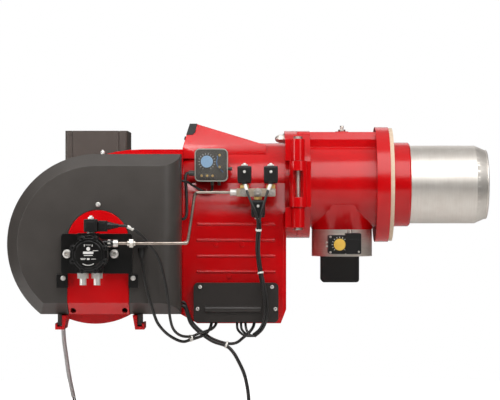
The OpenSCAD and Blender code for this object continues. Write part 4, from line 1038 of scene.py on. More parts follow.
@dataclass
class SupplyLeads:
    """The two free supply leads, which hang from the burner to where an installer connects them."""

    black_d: float = 7 * MM
    grey_d: float = 9 * MM
    stripped: float = 9 * MM
    core_share: float = 0.17
    core_off_share: float = 0.24
    black: Sequence[Point] = (
        (-427.5, -134, -243), (-421, -134, -246), (-416, -134, -259), (-410, -134, -277),
        (-397, -134, -292), (-383, -134, -303), (-364, -133, -315), (-338, -132, -324),
        (-324, -136, -337), (-313, -138, -356), (-303, -140, -378), (-297, -140, -402),
        (-294, -140, -424), (-293, -140, -446),
    )
    grey: Sequence[Point] = (
        (-697, 200, -26), (-702, 200, -26), (-709, 199, -32), (-713.5, 197.5, -50),
        (-714, 194, -90), (-710, 190, -140), (-704, 184, -190), (-697, 176, -240),
        (-691, 169, -290), (-688, 165, -331), (-682, 162, -373), (-677, 160, -405),
        (-667, 158, -452),
    )

    def build(self) -> None:
        """Makes both leads and their stripped ends."""
        self.lead("supply_lead_black", self.black, self.black_d, SHEATH)
        self.lead("supply_lead_grey", self.grey, self.grey_d, GREY_SHEATH)

    def lead(
        self, node: str, points: Sequence[Point], d: float, finish: Finish
    ) -> None:
        """Args:
            node: The CAD node that it stands for.
            points: Its route in millimetres.
            d: Its diameter.
            finish: Finish of its sheath.
        """
        path = through(points)
        curve = bpy.data.curves.new(node + "_sheath", "CURVE")
        curve.dimensions = "3D"
        curve.bevel_depth = d / 2
        curve.bevel_resolution = 5
        curve.use_fill_caps = True
        spline = curve.splines.new("POLY")
        spline.points.add(len(path) - 1)
        for point, here in zip(spline.points, path):
            point.co = (*here, 1.0)
        sheath = bpy.data.objects.new(node + "_sheath", curve)
        bpy.context.scene.collection.objects.link(sheath)
        hang(sheath, finish, Body.HOUSING, [node])
        end, ahead = path[-1], (path[-1] - path[-2]).normalized()
        side = ahead.cross(Vector((0, 1, 0))).normalized() * d * self.core_off_share
        cores = Workpiece(node + "_cores")
        for i in range(3):
            off = Matrix.Rotation(math.radians(120 * i), 4, ahead) @ side
            start = end - ahead * 2 * MM + off
            tip = end + ahead * self.stripped + off * 1.3
            cores.tube([start, (start + tip) / 2, tip], d * self.core_share, 10)
        piece = cores.done(BASE_GREY, Body.HOUSING)


@dataclass
class HeldLeads:
    """Leads that the housing holds from end to end, with their ties and tags.

    A route is a lead's radius and its points. A tie is its centre, the way of its leads and its
    radius. A tag runs from one point to another. All are in millimetres.
    """

    routes: dict[str, tuple[float, Sequence[Point]]] = field(default_factory=lambda: {
        "pump_solenoid_lead": (2.8, (
            (-545, -270, -82), (-530, -269, -83), (-512, -262, -92), (-491, -248, -113),
            (-469, -238, -146), (-457, -231, -190), (-451, -226, -228), (-448, -214, -262),
            (-442, -198, -286), (-428, -180, -300), (-408, -162, -303), (-392, -158, -297),
            (-378, -148, -293), (-368, -134, -290), (-361, -122, -284), (-358, -116, -276),
            (-358, -116, -270))),
        "air_servo_lead": (3.0, (
            (-503, -225, -146), (-498, -225, -180), (-489, -225, -221), (-477, -216, -262),
            (-468, -208, -280), (-453, -192, -297), (-435, -176, -309), (-422, -164, -313),
            (-410, -158, -310), (-396, -152, -306), (-385, -146, -302), (-377, -133, -297),
            (-371, -121, -289), (-368, -115, -278), (-368, -115, -270))),
        "hood_lead": (3.0, (
            (-427.5, -122, -236), (-422, -122, -239), (-417, -122, -252), (-410, -122, -272),
            (-397, -122, -288), (-383, -122, -299), (-364, -124, -311), (-338, -126, -319),
            (-319, -126, -318), (-305, -124, -308), (-293, -120, -298), (-284, -117, -285),
            (-282, -116, -270))),
        "air_switch_lead": (3.0, (
            (-414.05, -101, 22), (-417, -101, 22), (-420.5, -102.5, 18), (-421, -105.5, 8),
            (-419, -110, -12), (-418, -115, -40), (-418, -119, -58), (-421, -122, -68),
            (-427.5, -122, -71))),
        "coil_lead_left": (2.5, (
            (-301, -165, 0), (-298, -171, -12), (-288, -179, -38), (-279, -181, -60),
            (-275.5, -176, -76))),
        "coil_lead_right": (2.5, (
            (-250, -165, 0), (-255, -171, -12), (-263, -179, -38), (-269, -181, -60),
            (-272.5, -176, -76))),
        "coil_lead_low": (2.5, ((-275, -165, -68), (-275, -168, -74), (-274, -172, -82))),
        "coil_trunk": (6.0, (
            (-274, -174, -74), (-274, -172, -91), (-275, -163, -110), (-275, -148, -130),
            (-273, -138, -152), (-270, -136, -177), (-265, -140, -204), (-260, -144, -232),
            (-259, -146, -256), (-262, -144, -276), (-270, -141, -292), (-283, -138, -303))),
        "coil_end_1": (2.5, (
            (-282, -135, -303), (-291, -131, -302), (-298, -123, -292), (-300, -117, -280),
            (-300, -116, -270))),
        "coil_end_2": (2.5, (
            (-282, -138, -303), (-296, -137, -301), (-307, -125, -292), (-309, -117, -280),
            (-309, -116, -270))),
        "coil_end_3": (2.5, (
            (-282, -141, -303), (-302, -143, -302), (-315, -126, -292), (-317, -117, -280),
            (-317, -116, -270))),
    })
    ties_at: Sequence[tuple[Point, Point, float]] = (
        ((-409, -160, -306.5), (36, 20, 2), 6.9),
        ((-338, -129, -321.5), (42, -2, -14), 7.5),
        ((-274, -172, -91), (-1, 11, -36), 6.1),
        ((-270, -136, -177), (8, -2, -52), 6.1),
    )
    tie_w: float = 3.8 * MM
    tags_at: Sequence[tuple[Point, Point]] = (
        ((-300.8, -165.6, -0.6), (-297.5, -172, -13)),
        ((-250.2, -165.6, -0.6), (-255.3, -172, -13)),
        ((-275, -165.3, -69.5), (-275, -168, -75.5)),
        ((-529, -268.8, -83.2), (-517.5, -264.3, -89)),
    )
    tag_r: float = 3.4 * MM
    twist: float = 200.0
    strand_off: float = 2.9 * MM
    thin_r: float = 2.5 * MM
    hose: Sequence[Point] = (
        (-427.4, -122, 6), (-422, -122, 6), (-414, -117, 3), (-404, -111, -4), (-392, -106, -11),
        (-380, -102.5, -16), (-371, -101, -15), (-367, -101, -10), (-367, -101, -2.6),
    )

    def build(self) -> None:
        """Makes the leads, the hose and what binds them."""
        bundle = Workpiece("held_leads_sheaths")
        for name, (r, points) in self.routes.items():
            if name != "coil_trunk":
                bundle.tube(through(points, 4), r * MM, 12)
        self.trunk(bundle)
        bundle.done(SHEATH, Body.HOUSING, ["held_leads"], LEAD_EDGE_ANGLE)
        hose = Workpiece("switch_hose_sheath")
        hose.tube(through(self.hose, 5), self.thin_r, 12)
        hose.done(SHEATH, Body.HOUSING, ["switch_hose"], LEAD_EDGE_ANGLE)
        self.ties()
        self.tags()

    def trunk(self, bundle: Workpiece) -> None:
        """Lays three leads in a loose twist along the trunk's route.

        Args:
            bundle: The workpiece that gets them.
        """
        path = through(self.routes["coil_trunk"][1], 5)
        for k in range(3):
            points = []
            for i, here in enumerate(path):
                ahead = (path[min(i + 1, len(path) - 1)] - path[max(i - 1, 0)]).normalized()
                side = ahead.cross(Vector((0, 1, 0))).normalized()
                angle = math.radians(120 * k + self.twist * i / len(path))
                points.append(here + Matrix.Rotation(angle, 4, ahead) @ (side * self.strand_off))
            bundle.tube(points, self.thin_r, 12)

    def ties(self) -> None:
        """White cable ties pulled tight round the leads that run side by side."""
        ties = Workpiece("lead_ties")
        for at, ahead, r in self.ties_at:
            centre, half = Vector(at) * MM, Vector(ahead).normalized() * self.tie_w / 2
            ties.tube([centre - half, centre, centre + half], r * MM, 24)
        ties.done(WHITE_NYLON, Body.HOUSING, ["cable_ties"])

    def tags(self) -> None:
        """White tags round the leads where they leave the coils and the pump's plug."""
        tags = Workpiece("lead_tags")
        for at, to in self.tags_at:
            a, b = Vector(at) * MM, Vector(to) * MM
            tags.tube([a, (a + b) / 2, b], self.tag_r, 16)
        tags.done(WHITE_NYLON, Body.HOUSING)


@dataclass
class BurnerHead:
    """The part that stays on the boiler: casting, flange, flame tube and what is inside."""

    def build(self) -> None:
        """Makes the head's pieces."""
        smooth_copies(
            Body.HEAD,
            ("head_casting", RED, "red_paint"),
            ("flange_gasket", GASKET, "gasket_fibre"),
            ("spigot_ring", RED, "red_paint"),
            ("flame_tube", FLAME_STEEL, "flame_steel"),
            ("gas_ring", FLAME_STEEL, "flame_steel"),
            ("diffuser_plate", FLAME_STEEL, "flame_steel"),
            ("nozzle_rod", ZINC, "zinc_steel"),
            ("ignition_electrodes", CERAMIC, "ceramic_white"),
            ("split_seal", ROPE, "gasket_fibre"),
            ("test_nipples", ZINC, "zinc_steel"),
            ("gas_valve_body", VALVE_ALLOY, "die_cast"),
        )
        smooth_copy("gas_butterfly", ZINC, Body.GAS_VALVE)
        smooth_copy("gas_servomotor", BLACK_NYLON, Body.HEAD)


@dataclass
class GasSwitch:
    """Pressure switch of the gas train, with its yellow dial and its connector block."""

    face: float = -116 * MM
    x: tuple[float, float, float] = (-134 * MM, -98 * MM, -68 * MM)
    z: tuple[float, float] = (-140.5 * MM, -102.5 * MM)
    dial_at: Point = (-111 * MM, -116 * MM, -121.5 * MM)
    dial_r: float = 12.2 * MM
    back: float = -64 * MM
    side_out: float = 6 * MM
    side_back: float = -68 * MM
    side_label: Block = ((5, -6.7, 5), (26, -5, 30), 0.3, 2)
    screw_gap: float = 15.5 * MM
    ticks: int = 16

    def build(self) -> None:
        """Makes the switch, its dial and its scale."""
        body = Workpiece("gas_switch_case")
        x, _, z = self.dial_at
        case = round_outline(self.x[0], self.z[0], self.x[1], self.z[1], 4 * MM)
        side = round_outline(self.x[1] - 1 * MM, self.z[0], self.x[2], self.z[1] + 4 * MM, 3 * MM)
        body.plate(case, self.face, self.back, 1.0 * MM, 3, True)
        body.plate(side, self.face - self.side_out, self.side_back, 1.0 * MM, 3, True)
        body.rod((x, self.face + 0.5 * MM, z), -2.0 * MM, 16.4 * MM, Axis.Y)
        body.blocks((self.x[1], self.face, self.z[0]), [self.side_label])
        body.done(BLACK_NYLON, Body.HEAD, ["gas_pressure_switch"])
        screws = Workpiece("gas_switch_screws")
        for dz in (-self.screw_gap, self.screw_gap):
            domed_screw(screws, (self.x[0] + 4.5 * MM, self.face, z + dz), 2.4 * MM)
        low_corner = (self.x[2] - 5 * MM, self.face - self.side_out, self.z[0] + 4.5 * MM)
        domed_screw(screws, low_corner, 2.2 * MM)
        for dz in (4, -4):
            tip = (self.x[0], self.face + 22 * MM, z + dz * MM)
            screws.rod(tip, -4 * MM, 1.9 * MM, Axis.X)
        screws.done(ZINC, Body.HEAD)
        marks = Workpiece("gas_switch_scale")
        tick_ring(marks, (x, self.face - 1.55 * MM, z), 13.4 * MM, 15.9 * MM, self.ticks)
        marks.done(INK, Body.HEAD)
        knurled_dial(
            "gas_dial_knob", self.dial_at, self.dial_r, YELLOW, Body.GAS_DIAL,
            ["gas_switch_dial"], -3.4 * MM,
        )


def domed_screw(piece: Workpiece, at: Point, r: float) -> None:
    """A small domed screw head with a hollow, on a face that looks to -Y.

    Args:
        piece: Workpiece that gets it.
        at: Centre of the head on the face.
        r: Radius of the head.
    """
    shares = (
        (0.3, -0.3), (0.3, -0.78), (0.8, -0.7), (1.0, -0.35), (1.0, 0.0), (0.0, 0.0), (0.0, -0.3),
        (0.3, -0.3),
    )
    piece.turned([(out * r, up * r) for out, up in shares], at, Axis.Y, 20)


def tick_ring(piece: Workpiece, at: Point, r0: float, r1: float, count: int) -> None:
    """Plain scale ticks round a dial, on a face that looks to -Y.

    Args:
        piece: Workpiece that gets them.
        at: Centre of the scale.
        r0: Inner radius of the ticks.
        r1: Outer radius of the ticks.
        count: Number of ticks in a full turn, of which those below are left out.
    """
    below, gap = 270.0, 24.0
    for i in range(count):
        angle = 2 * math.pi * i / count
        if abs(math.degrees(angle) - below) < gap:
            continue
        part = box_mesh((r1 - r0, 0.3 * MM, 1.1 * MM))
        bmesh.ops.translate(part, vec=((r0 + r1) / 2, 0, 0), verts=part.verts)
        bmesh.ops.rotate(part, matrix=Matrix.Rotation(-angle, 3, "Y"), verts=part.verts)
        bmesh.ops.translate(part, vec=at, verts=part.verts)
        piece.take(part)


def knurled_dial(
    name: str, at: Point, r: float, finish: Skin, body: Body, nodes: Sequence[str],
    front: float,
) -> Any:
    """A setting dial with a knurled rim, a round edge and two ribs that a screwdriver fits between.

    Args:
        name: The piece's name.
        at: Centre of the dial on its seat, with the dial towards -Y.
        r: Its radius.
        finish: Its finish.
        body: The body that it rides on.
        nodes: CAD nodes that it replaces.
        front: Its front face, counted from the seat.

    Returns:
        The piece.
    """
    dial = Workpiece(name)
    outline = []
    points, tooth = 30 * 4, 0.55 * MM
    for i in range(points):
        a = 2 * math.pi * i / points
        here = r - (tooth if i % 4 in (2, 3) else 0.0)
        outline.append((at[0] + here * math.cos(a), at[2] + here * math.sin(a)))
    dial.plate(outline, at[1] + front, at[1] + 2.5 * MM, 0.5 * MM, 2, True)
    tilt = Matrix.Rotation(math.radians(-35), 4, "Y")
    for s in (-1, 1):
        part = box_mesh((r * 1.2, 0.8 * MM, 1.0 * MM))
        bmesh.ops.translate(part, vec=(0, -0.2 * MM, s * 1.5 * MM), verts=part.verts)
        place = Matrix.Translation((at[0], at[1] + front, at[2])) @ tilt
        bmesh.ops.transform(part, matrix=place, verts=part.verts)
        dial.take(part, 0.3 * MM)
    dial.rod((at[0], at[1] + 2 * MM, at[2]), 7 * MM, 3 * MM, Axis.Y, sides=24)
    return dial.done(finish, body, nodes)


@dataclass
class Housing:
    """The swinging casting with its hinge, its closing screws and the viewing hood."""

    def build(self) -> None:
        """Makes the housing's own pieces."""
        smooth_copies(
            Body.HOUSING,
            ("burner_housing", RED, "red_paint"),
            ("viewing_hood", RED, "red_paint"),
            ("display_cap", BLACK_NYLON, "black_plastic"),
        )
        for i, body in enumerate((Body.BUTTON_1, Body.BUTTON_2, Body.BUTTON_3), 1):
            smooth_copy(f"display_button_{i}", BLACK_NYLON, body)
        smooth_copies(
            Body.HOUSING,
            ("hinge_pin", ZINC, "zinc_steel"),
            ("closing_screws", ZINC, "zinc_steel"),
            ("flame_sensor", BLACK_NYLON, "black_plastic"),
        )


@dataclass
class Intake:
    """The sound hood with its feet, brackets and screws, and the air shutter behind it."""

    front: float = -215 * MM
    screws_at: Sequence[tuple[float, float, float]] = (
        (-589 * MM, -41 * MM, 0.0), (-657 * MM, -185 * MM, 7 * MM), (-520 * MM, -185 * MM, 7 * MM))
    top_screw_at: Point = (-583 * MM, -168 * MM, 59 * MM)
    washer: float = 1.2 * MM
    washer_r: float = 4.9 * MM
    screw_r: float = 4.1 * MM

    def build(self) -> None:
        """Makes the intake's pieces."""
        smooth_copies(
            Body.HOUSING,
            ("sound_hood", HOOD_COAT, "hood_coat"),
            ("hood_feet", HOOD_COAT, "hood_coat"),
            ("hood_brackets", BLACK_CAST, "black_coat"),
        )
        self.screws()
        smooth_copy("pump_carrier", RED, Body.HOUSING)
        smooth_copy("air_shutter", VALVE_ALLOY, Body.SHUTTER)
        smooth_copy("air_servomotor", BLACK_NYLON, Body.HOUSING)

    def screws(self) -> None:
        """Domed screws in the hood's face, and the standing screw on its top."""
        heads = Workpiece("hood_screw_heads")
        for x, z, out in self.screws_at:
            face = self.front - out
            heads.rod((x, face, z), -self.washer, self.washer_r, Axis.Y, bevel=0.3 * MM)
            domed_screw(heads, (x, face - self.washer, z), self.screw_r)
            heads.rod((x, face, z), out + 8 * MM, 2 * MM, Axis.Y, sides=16)
        heads.rod(self.top_screw_at, 6 * MM, 4.5 * MM, bevel=0.8 * MM)
        heads.rod(near(self.top_screw_at, (0, 0, 6)), 2 * MM, 2.5 * MM, bevel=0.4 * MM)
        heads.done(WHITE_ZINC, Body.HOUSING, ["hood_screws"])


@dataclass
class FanAndMotor:
    """The fan wheel, its shaft and the motor with its control box, behind the scroll."""

    def build(self) -> None:
        """Makes the fan's and the motor's pieces."""
        smooth_copies(
            Body.ROTOR,
            ("fan_wheel", FAN_STEEL, "flame_steel"),
            ("motor_shaft", ZINC, "zinc_steel"),
            ("pump_coupling", COUPLING_BLUE, "blue_plastic"),
            ("pump_rotor", ZINC, "zinc_steel"),
        )
        smooth_copies(
            Body.HOUSING,
            ("motor_plate", RED, "red_paint"),
            ("motor_frame", MOTOR_COAT, "hood_coat"),
            ("motor_cowl", BOX_COAT, "hood_coat"),
            ("motor_control_box", BOX_COAT, "hood_coat"),
        )


@dataclass
class Pump:
    """The oil pump with its plate, lobed cover, solenoid, plug and hose fittings.

    Outlines, which are a radius and a height at each point, blocks and printed bars, which are a
    middle, a width and a height, are in millimetres.
    """

    centre: Point = (-602 * MM, -289 * MM, -137 * MM)
    r: float = 38 * MM
    plate_y: float = -227 * MM
    lobes: int = 8
    lobe_in: float = 5 * MM
    disc: Outline = (
        (0, -11), (25.5, -11), (26.5, -10), (26.5, -9), (31, -8.6), (32, -7.5), (32, 0), (0, 0),
    )
    lobe: Outline = ((0, -7), (5.2, -7), (6, -6.2), (6, 0), (0, 0))
    cap_screw: Outline = (
        (0, -8.5), (2.2, -8.5), (2.2, -11.6), (3.5, -11.8), (4, -11.2), (4, -7), (0, -7),
    )
    bolt: Outline = (
        (0, 0), (8.5, 0), (8.5, -1.6), (6.6, -2), (6.5, -8.4), (5.9, -9), (3.5, -9), (3.3, -3),
        (0, -1),
    )
    bolt_out: float = 46 * MM
    bolt_seat: float = 12 * MM
    valve_off: Point = (3, 19, 41)
    coil_blocks: Sequence[Block] = (
        ((-13, -15, 2), (13, 15, 27), 2.2, 3), ((-9, -15.6, 7), (9, -14, 22), 0.5, 2),
    )
    plug_at: Point = (-586 * MM, -270 * MM, -80 * MM)
    plug_blocks: Sequence[Block] = (
        ((0, -11, -13), (19, 11, 8), 1.6, 3), ((3, -11.8, -9), (16, -10, 4), 0.5, 2),
    )
    gland_ribs: int = 4
    print_out: float = 11.1 * MM
    ink: float = 0.1 * MM
    dashes: int = 6
    dash_angles: tuple[float, float] = (244, 296)
    dash_r: float = 20.5 * MM
    dash_size: Point = (1.5 * MM, 0.2 * MM, 4.2 * MM)
    bars: Sequence[tuple[float, float, float, float]] = (
        (0, 3.5, 20, 4.6), (0, -1.6, 17, 1.3), (-10, -7.5, 10, 1.0), (-10, -9.6, 8, 1.0),
        (10, -8.5, 9, 1.0), (0, -8.5, 5, 3.4), (14, 7.5, 10, 1.2), (-7.5, 17.5, 1.4, 4.2),
        (7.5, 17.5, 1.4, 4.2), (0, 18.5, 10, 0.9),
    )

    def build(self) -> None:
        """Makes the pump's pieces."""
        smooth_copy("pump_plate", BLACK_CAST, Body.HOUSING)
        smooth_copy("pump_body", BLACK_CAST, Body.HOUSING)
        self.cover()
        self.bolts()
        smooth_copy("hose_fittings", WHITE_ZINC, Body.HOUSING)
        self.solenoid()
        self.plug()

    def lobe_places(self) -> Iterable[tuple[float, float]]:
        """Places of the cover's lobes in X and Z.

        Returns:
            One pair for each lobe.
        """
        out = self.r - self.lobe_in
        for i in range(self.lobes):
            a = math.radians((i + 0.5) * 360 / self.lobes)
            yield self.centre[0] + out * math.cos(a), self.centre[2] + out * math.sin(a)

    def cover(self) -> None:
        """The lobed cover, its cap screws and the plain print on its disc."""
        x, y, z = self.centre
        cover = Workpiece("pump_cover_casting")
        cover.turned(in_mm(self.disc), (x, y, z), Axis.Y)
        for lx, lz in self.lobe_places():
            cover.turned(in_mm(self.lobe), (lx, y, lz), Axis.Y, 24)
        cover.done(BLACK_CAST, Body.HOUSING, ["pump_cover"])
        screws = Workpiece("pump_cover_screws")
        for lx, lz in self.lobe_places():
            screws.turned(in_mm(self.cap_screw), (lx, y, lz), Axis.Y, 20)
        screws.done(BLACK_NYLON, Body.HOUSING)
        marks = Workpiece("pump_cover_print")
        front, ink = y - self.print_out, self.ink
        first, last = self.dash_angles
        for i in range(self.dashes):
            self.dash(marks, math.radians(first + (last - first) * i / (self.dashes - 1)))
        for bx, bz, w, h in self.bars:
            marks.slab((x + (bx - w / 2) * MM, front - ink, z + (bz - h / 2) * MM),
                       (x + (bx + w / 2) * MM, front + ink, z + (bz + h / 2) * MM), 0.0)
        marks.rod((x, front + ink, z + 11 * MM), -2 * ink, 3.7 * MM, Axis.Y, sides=24)
        marks.done(INK, Body.HOUSING)

    def dash(self, marks: Workpiece, a: float) -> None:
        """One printed dash of the ring on the cover's disc.

        Args:
            marks: Workpiece that gets it.
            a: Its angle in radians.
        """
        x, y, z = self.centre
        part = box_mesh(self.dash_size)
        bmesh.ops.rotate(part, matrix=Matrix.Rotation(-a, 3, "Y"), verts=part.verts)
        place = (x + self.dash_r * math.cos(a), y - self.print_out, z + self.dash_r * math.sin(a))
        bmesh.ops.translate(part, verts=part.verts, vec=place)
        marks.take(part)

    def bolts(self) -> None:
        """The two socket head bolts that hold the pump, on their washers."""
        bolts = Workpiece("pump_bolts_turned")
        for s in (-1, 1):
            at = (self.centre[0] + s * self.bolt_out, self.plate_y - self.bolt_seat, self.centre[2])
            bolts.turned(in_mm(self.bolt), at, Axis.Y, 36)
            bolts.rod(at, 24 * MM, 4 * MM, Axis.Y, sides=24)
        bolts.done(WHITE_ZINC, Body.HOUSING, ["pump_bolts"])

    def solenoid(self) -> None:
        """The solenoid on the pump: coil, seat and nut."""
        seat = near(self.centre, self.valve_off)
        coil = Workpiece("pump_solenoid_coil")
        coil.blocks(seat, self.coil_blocks)
        coil.done(BLACK_NYLON, Body.HOUSING, ["pump_solenoid"])
        stem = Workpiece("pump_solenoid_stem")
        stem.rod(seat, 2 * MM, 8 * MM)
        stem.hexagon(near(seat, (0, 0, 27)), 4 * MM, 11 * MM, Axis.Z)
        stem.rod(near(seat, (0, 0, 31)), 3 * MM, 3 * MM, bevel=0.5 * MM)
        stem.done(WHITE_ZINC, Body.HOUSING)

    def plug(self) -> None:
        """The plug of the pump's solenoid, with its ribbed gland."""
        plug = Workpiece("pump_plug_housing")
        plug.blocks(self.plug_at, self.plug_blocks)
        gland = [(0, 19), (7.5, 19), (7.5, 24.5), (6.8, 25)]
        for i in range(self.gland_ribs):
            start, r = 25 + 4 * i, 7 - 0.8 * i
            gland += [(r, start + 0.4), (r, start + 2.4)]
            gland += [(r - 1.5, start + 2.9), (r - 1.5, start + 3.9)]
        gland += [(3.1, 41), (0, 41)]
        plug.turned(in_mm(gland), near(self.plug_at, (0, 0, -2)), Axis.X, 32)
        plug.done(BLACK_NYLON, Body.HOUSING, ["pump_plug"])


@dataclass
class OilValves:
    """The oil pipe, the valve block and the three solenoid coils on it.

    A hexagon nut is its X, length and width across flats, and a collar is its X, length and
    radius. They, outlines, blocks and the pipe's points are in millimetres.
    """

    block_y: float = -135 * MM
    block_z: float = -17 * MM
    coil_x: tuple[float, float] = (-302 * MM, -249.5 * MM)
    low_x: float = -275 * MM
    coil_h: float = 35 * MM
    coil_blocks: Sequence[Block] = (
        ((-13, -14.5, 0), (13, 16, 35), 2, 3), ((-14, -36, 3), (14, -14, 34), 2.4, 3),
        ((-10, -36.5, 6), (10, -35, 31), 0.4, 2),
    )
    coil_screw: Outline = (
        (1.2, -1), (1.2, -2.1), (2.6, -1.9), (3, -1), (3, 0), (0, 0), (0, -1), (1.2, -1),
    )
    hollow: Outline = (
        (0, -6.2), (2.2, -6.2), (2.4, -8), (4, -8), (4.4, -7.4), (4.4, -5.8), (0, -5.8),
    )
    coil_z: float = 1 * MM
    low_z: float = -67 * MM
    block_x: tuple[float, float] = (-318 * MM, -240 * MM)
    block_half: tuple[float, float] = (11 * MM, 8 * MM)
    feet_x: tuple[float, float] = (-300 * MM, -262 * MM)
    plugs_x: tuple[float, float, float] = (-303 * MM, -275.5 * MM, -248.5 * MM)
    pipe_at: tuple[float, float] = (-267 * MM, -116 * MM)
    hexagons: Sequence[Point] = ((-567, 6, 14), (-525, 8, 16))
    collars: Sequence[Point] = ((-529, 4, 5), (-517, 4, 5))
    bright_x: float = -561 * MM
    pipe: Sequence[Point] = (
        (-552, -267, -116), (-425, -267, -116), (-417, -264, -114), (-411, -255, -107),
        (-402, -149, -28), (-399, -139, -20), (-392, -135, -17), (-331, -135, -17),
    )

    def build(self) -> None:
        """Makes the valves' pieces."""
        pipe = Workpiece("oil_pipe_drawn")
        pipe.tube(through(self.pipe, 6), 3 * MM, 16)
        pipe.done(PIPE_STEEL, Body.HOUSING, ["oil_pipe"], PIPE_EDGE_ANGLE)
        self.nuts()
        self.block()
        self.stems()
        self.coils()

    def nuts(self) -> None:
        """Compression nuts, union and collars along the pipe."""
        y, z = self.pipe_at
        nuts = Workpiece("pipe_nuts_steel")
        for x, length, flats in self.hexagons:
            nuts.hexagon((x * MM, y, z), length * MM, flats * MM, Axis.X, 0.8 * MM)
        for x, length, r in self.collars:
            nuts.rod((x * MM, y, z), length * MM, r * MM, Axis.X, bevel=0.8 * MM)
        nuts.done(ZINC, Body.HOUSING, ["pipe_nuts"])
        bright = Workpiece("pipe_nuts_bright")
        for at in ((self.bright_x, y, z), (-331 * MM, self.block_y, self.block_z)):
            bright.rod(at, 14 * MM, 7 * MM, Axis.X, bevel=1.0 * MM)
            bright.rod((at[0] + 1 * MM, at[1], at[2]), 3 * MM, 7.3 * MM, Axis.X, bevel=0.3 * MM)
        bright.done(WHITE_ZINC, Body.HOUSING)

    def block(self) -> None:
        """The steel block with its feet, and the hexagon plugs in its face."""
        (x0, x1), (half_y, half_z) = self.block_x, self.block_half
        y, z = self.block_y, self.block_z
        block = Workpiece("valve_block_steel")
        block.slab((x0, y - half_y, z - half_z), (x1, y + half_y, z + half_z), 1.2 * MM)
        for x in self.feet_x:
            block.rod((x, y + half_y, z), 26 * MM, 6 * MM, Axis.Y)
        block.done(BLOCK_METAL, Body.HOUSING, ["valve_block"])
        plugs = Workpiece("valve_block_plugs")
        for x in self.plugs_x:
            plugs.rod((x, y - half_y, z), -1.2 * MM, 8.6 * MM, Axis.Y)
            plugs.rod((x, y - 12 * MM, z), -5 * MM, 8.1 * MM, Axis.Y, 7.4 * MM, 0.7 * MM, 6, 15)
            plugs.turned(in_mm(self.hollow), (x, y - half_y, z), Axis.Y, 24)
        plugs.done(ZINC, Body.HOUSING)

    def stems(self) -> None:
        """Brass stems that carry the coils."""
        stems = Workpiece("valve_stems_brass")
        y, z = self.block_y, self.block_z
        for x in self.coil_x:
            stems.hexagon((x, y, z + 8 * MM), 8 * MM, 18 * MM, Axis.Z, 0.8 * MM)
            stems.rod((x, y, z + 16 * MM), 2 * MM, 6 * MM)
        stems.hexagon((self.low_x, y, z - 14 * MM), 6 * MM, 16 * MM, Axis.Z, 0.8 * MM)
        stems.rod((self.low_x, y, z - 15 * MM), 1 * MM, 6 * MM)
        stems.done(BRASS, Body.HOUSING, ["valve_stems"])

    def coils(self) -> None:
        """Three coils with plugs towards the front, their screws and their end nuts."""
        coils = Workpiece("solenoid_coil_bodies")
        screws = Workpiece("solenoid_coil_screws")
        left, right = self.coil_x
        for x, z, up in (
            (left, self.coil_z, 1), (right, self.coil_z, 1), (self.low_x, self.low_z, -1),
        ):
            foot = (x, self.block_y, z)
            coils.blocks(foot, self.coil_blocks)
            coils.rod(near(foot, (0, -30, -1)), 5 * MM, 5.5 * MM)
            screws.turned(in_mm(self.coil_screw), near(foot, (0, -36.4, 23)), Axis.Y, 20)
            end = (x, self.block_y, z + self.coil_h if up > 0 else z)
            screws.hexagon(end, up * 3 * MM, 13 * MM, Axis.Z)
            screws.rod(near(end, (0, 0, up * 3)), up * 3 * MM, 4.5 * MM, end_r=2.5 * MM)
        coils.done(BLACK_NYLON, Body.HOUSING, ["solenoid_coils"])
        screws.done(WHITE_ZINC, Body.HOUSING)


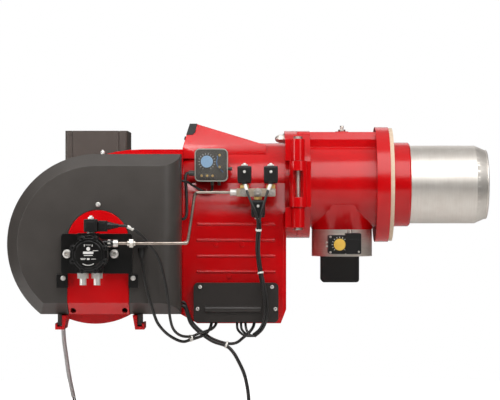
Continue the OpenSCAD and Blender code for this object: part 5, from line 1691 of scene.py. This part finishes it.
@dataclass
class AirSwitch:
    """The air pressure switch behind its clear cover, with a pale blue dial.

    A terminal is its X and Z, and how far its screw's seat stands out from the face. They, the
    strip that carries three of them and the wire's points are in millimetres.
    """

    x: tuple[float, float] = (-402 * MM, -335 * MM)
    z: tuple[float, float] = (4.6 * MM, 71 * MM)
    y: tuple[float, float] = (-112 * MM, -90 * MM)
    dial_at: Point = (-377.6 * MM, -112 * MM, 45 * MM)
    dial_r: float = 12.4 * MM
    ticks: int = 18
    bead_in: float = 1.3 * MM
    face_in: float = 5 * MM
    post: Point = (-352, -1.5, 34)
    strip: Block = ((-392, -10, 12), (-362, -1, 21), 0.8, 2)
    wire: Sequence[Point] = (
        (-357, -114, 56), (-356, -120, 52), (-358, -122, 44), (-355, -122, 34), (-349, -120, 28),
        (-345, -114, 24),
    )
    terminals: Sequence[Point] = (
        (-388, 16.5, 10), (-377, 16.5, 10), (-366, 16.5, 10), (-352, 58, 1.5), (-352, 34, 10),
    )

    def build(self) -> None:
        """Makes the switch's pieces."""
        smooth_copy("air_switch_body", BASE_GREY, Body.HOUSING)
        smooth_copy("air_switch_cover", CLEAR, Body.HOUSING)
        front = self.y[0]
        # The bead's pale grey is a painted highlight along the cover's rim.
        bead = Workpiece("air_switch_cover_bead")
        ring = [(x, front - 21 * MM, z) for x, z in self.inset(self.bead_in, 9 * MM)]
        bead.tube(ring + ring[:1], 0.9 * MM, 8)
        bead.done(PAINTED_RIM_HIGHLIGHT, Body.HOUSING, smooth=PIPE_EDGE_ANGLE)
        knurled_dial(
            "air_dial_knob", self.dial_at, self.dial_r, BLUE, Body.AIR_DIAL,
            ["air_switch_dial"], -7 * MM,
        )
        marks = Workpiece("air_switch_scale")
        middle = (self.dial_at[0], front - 1.7 * MM, self.dial_at[2])
        tick_ring(marks, middle, 14.2 * MM, 17.4 * MM, self.ticks)
        marks.done(INK, Body.HOUSING)
        face = Workpiece("air_switch_face")
        outline = self.inset(self.face_in, 7 * MM)
        face.plate(outline, front - 1.5 * MM, front + 0.5 * MM, 0.4 * MM)
        origin = (0.0, front, 0.0)
        face.rod(near(origin, self.post), -9 * MM, 5.5 * MM, Axis.Y, bevel=0.8 * MM)
        face.blocks(origin, [self.strip])
        face.done(BASE_GREY, Body.HOUSING)
        wire = Workpiece("air_switch_wire")
        wire.tube(through(self.wire, 5), 1.1 * MM, 8)
        wire.done(BLUE_WIRE, Body.HOUSING, smooth=PIPE_EDGE_ANGLE)
        terminals = Workpiece("air_switch_terminals")
        for x, z, out in self.terminals:
            domed_screw(terminals, (x * MM, front - out * MM, z * MM), 2.6 * MM)
        terminals.done(BRASS, Body.HOUSING)

    def inset(self, gap: float, r: float) -> Outline:
        """The switch's outline, drawn in by a gap.

        Args:
            gap: How far it is drawn in.
            r: Radius of its corners.

        Returns:
            Points of the outline.
        """
        return round_outline(
            self.x[0] + gap, self.z[0] + gap, self.x[1] - gap, self.z[1] - gap, r
        )


@dataclass
class CableBox:
    """The dark cover over the cable box, with its round bar and its screws."""

    front: float = -127 * MM
    screws_at: Outline = ((-391, -206), (-247, -206), (-396, -250), (-240, -250))

    def build(self) -> None:
        """Makes the cover and its screws."""
        smooth_copy("cable_cover", COVER_COAT, Body.HOUSING)
        heads = Workpiece("cable_cover_screws")
        for x, z in in_mm(self.screws_at):
            domed_screw(heads, (x, self.front, z), 4.1 * MM)
        heads.done(WHITE_ZINC, Body.HOUSING)


def main() -> None:
    """Builds every sub-assembly in order."""
    logging.basicConfig(level=logging.INFO, format="%(name)s: %(message)s")
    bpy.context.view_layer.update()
    Studio().build()
    SupplyLeads().build()
    HeldLeads().build()
    BurnerHead().build()
    GasSwitch().build()
    Housing().build()
    Intake().build()
    FanAndMotor().build()
    Pump().build()
    OilValves().build()
    AirSwitch().build()
    CableBox().build()
    bpy.context.view_layer.update()


if __name__ == "__main__":
    main()
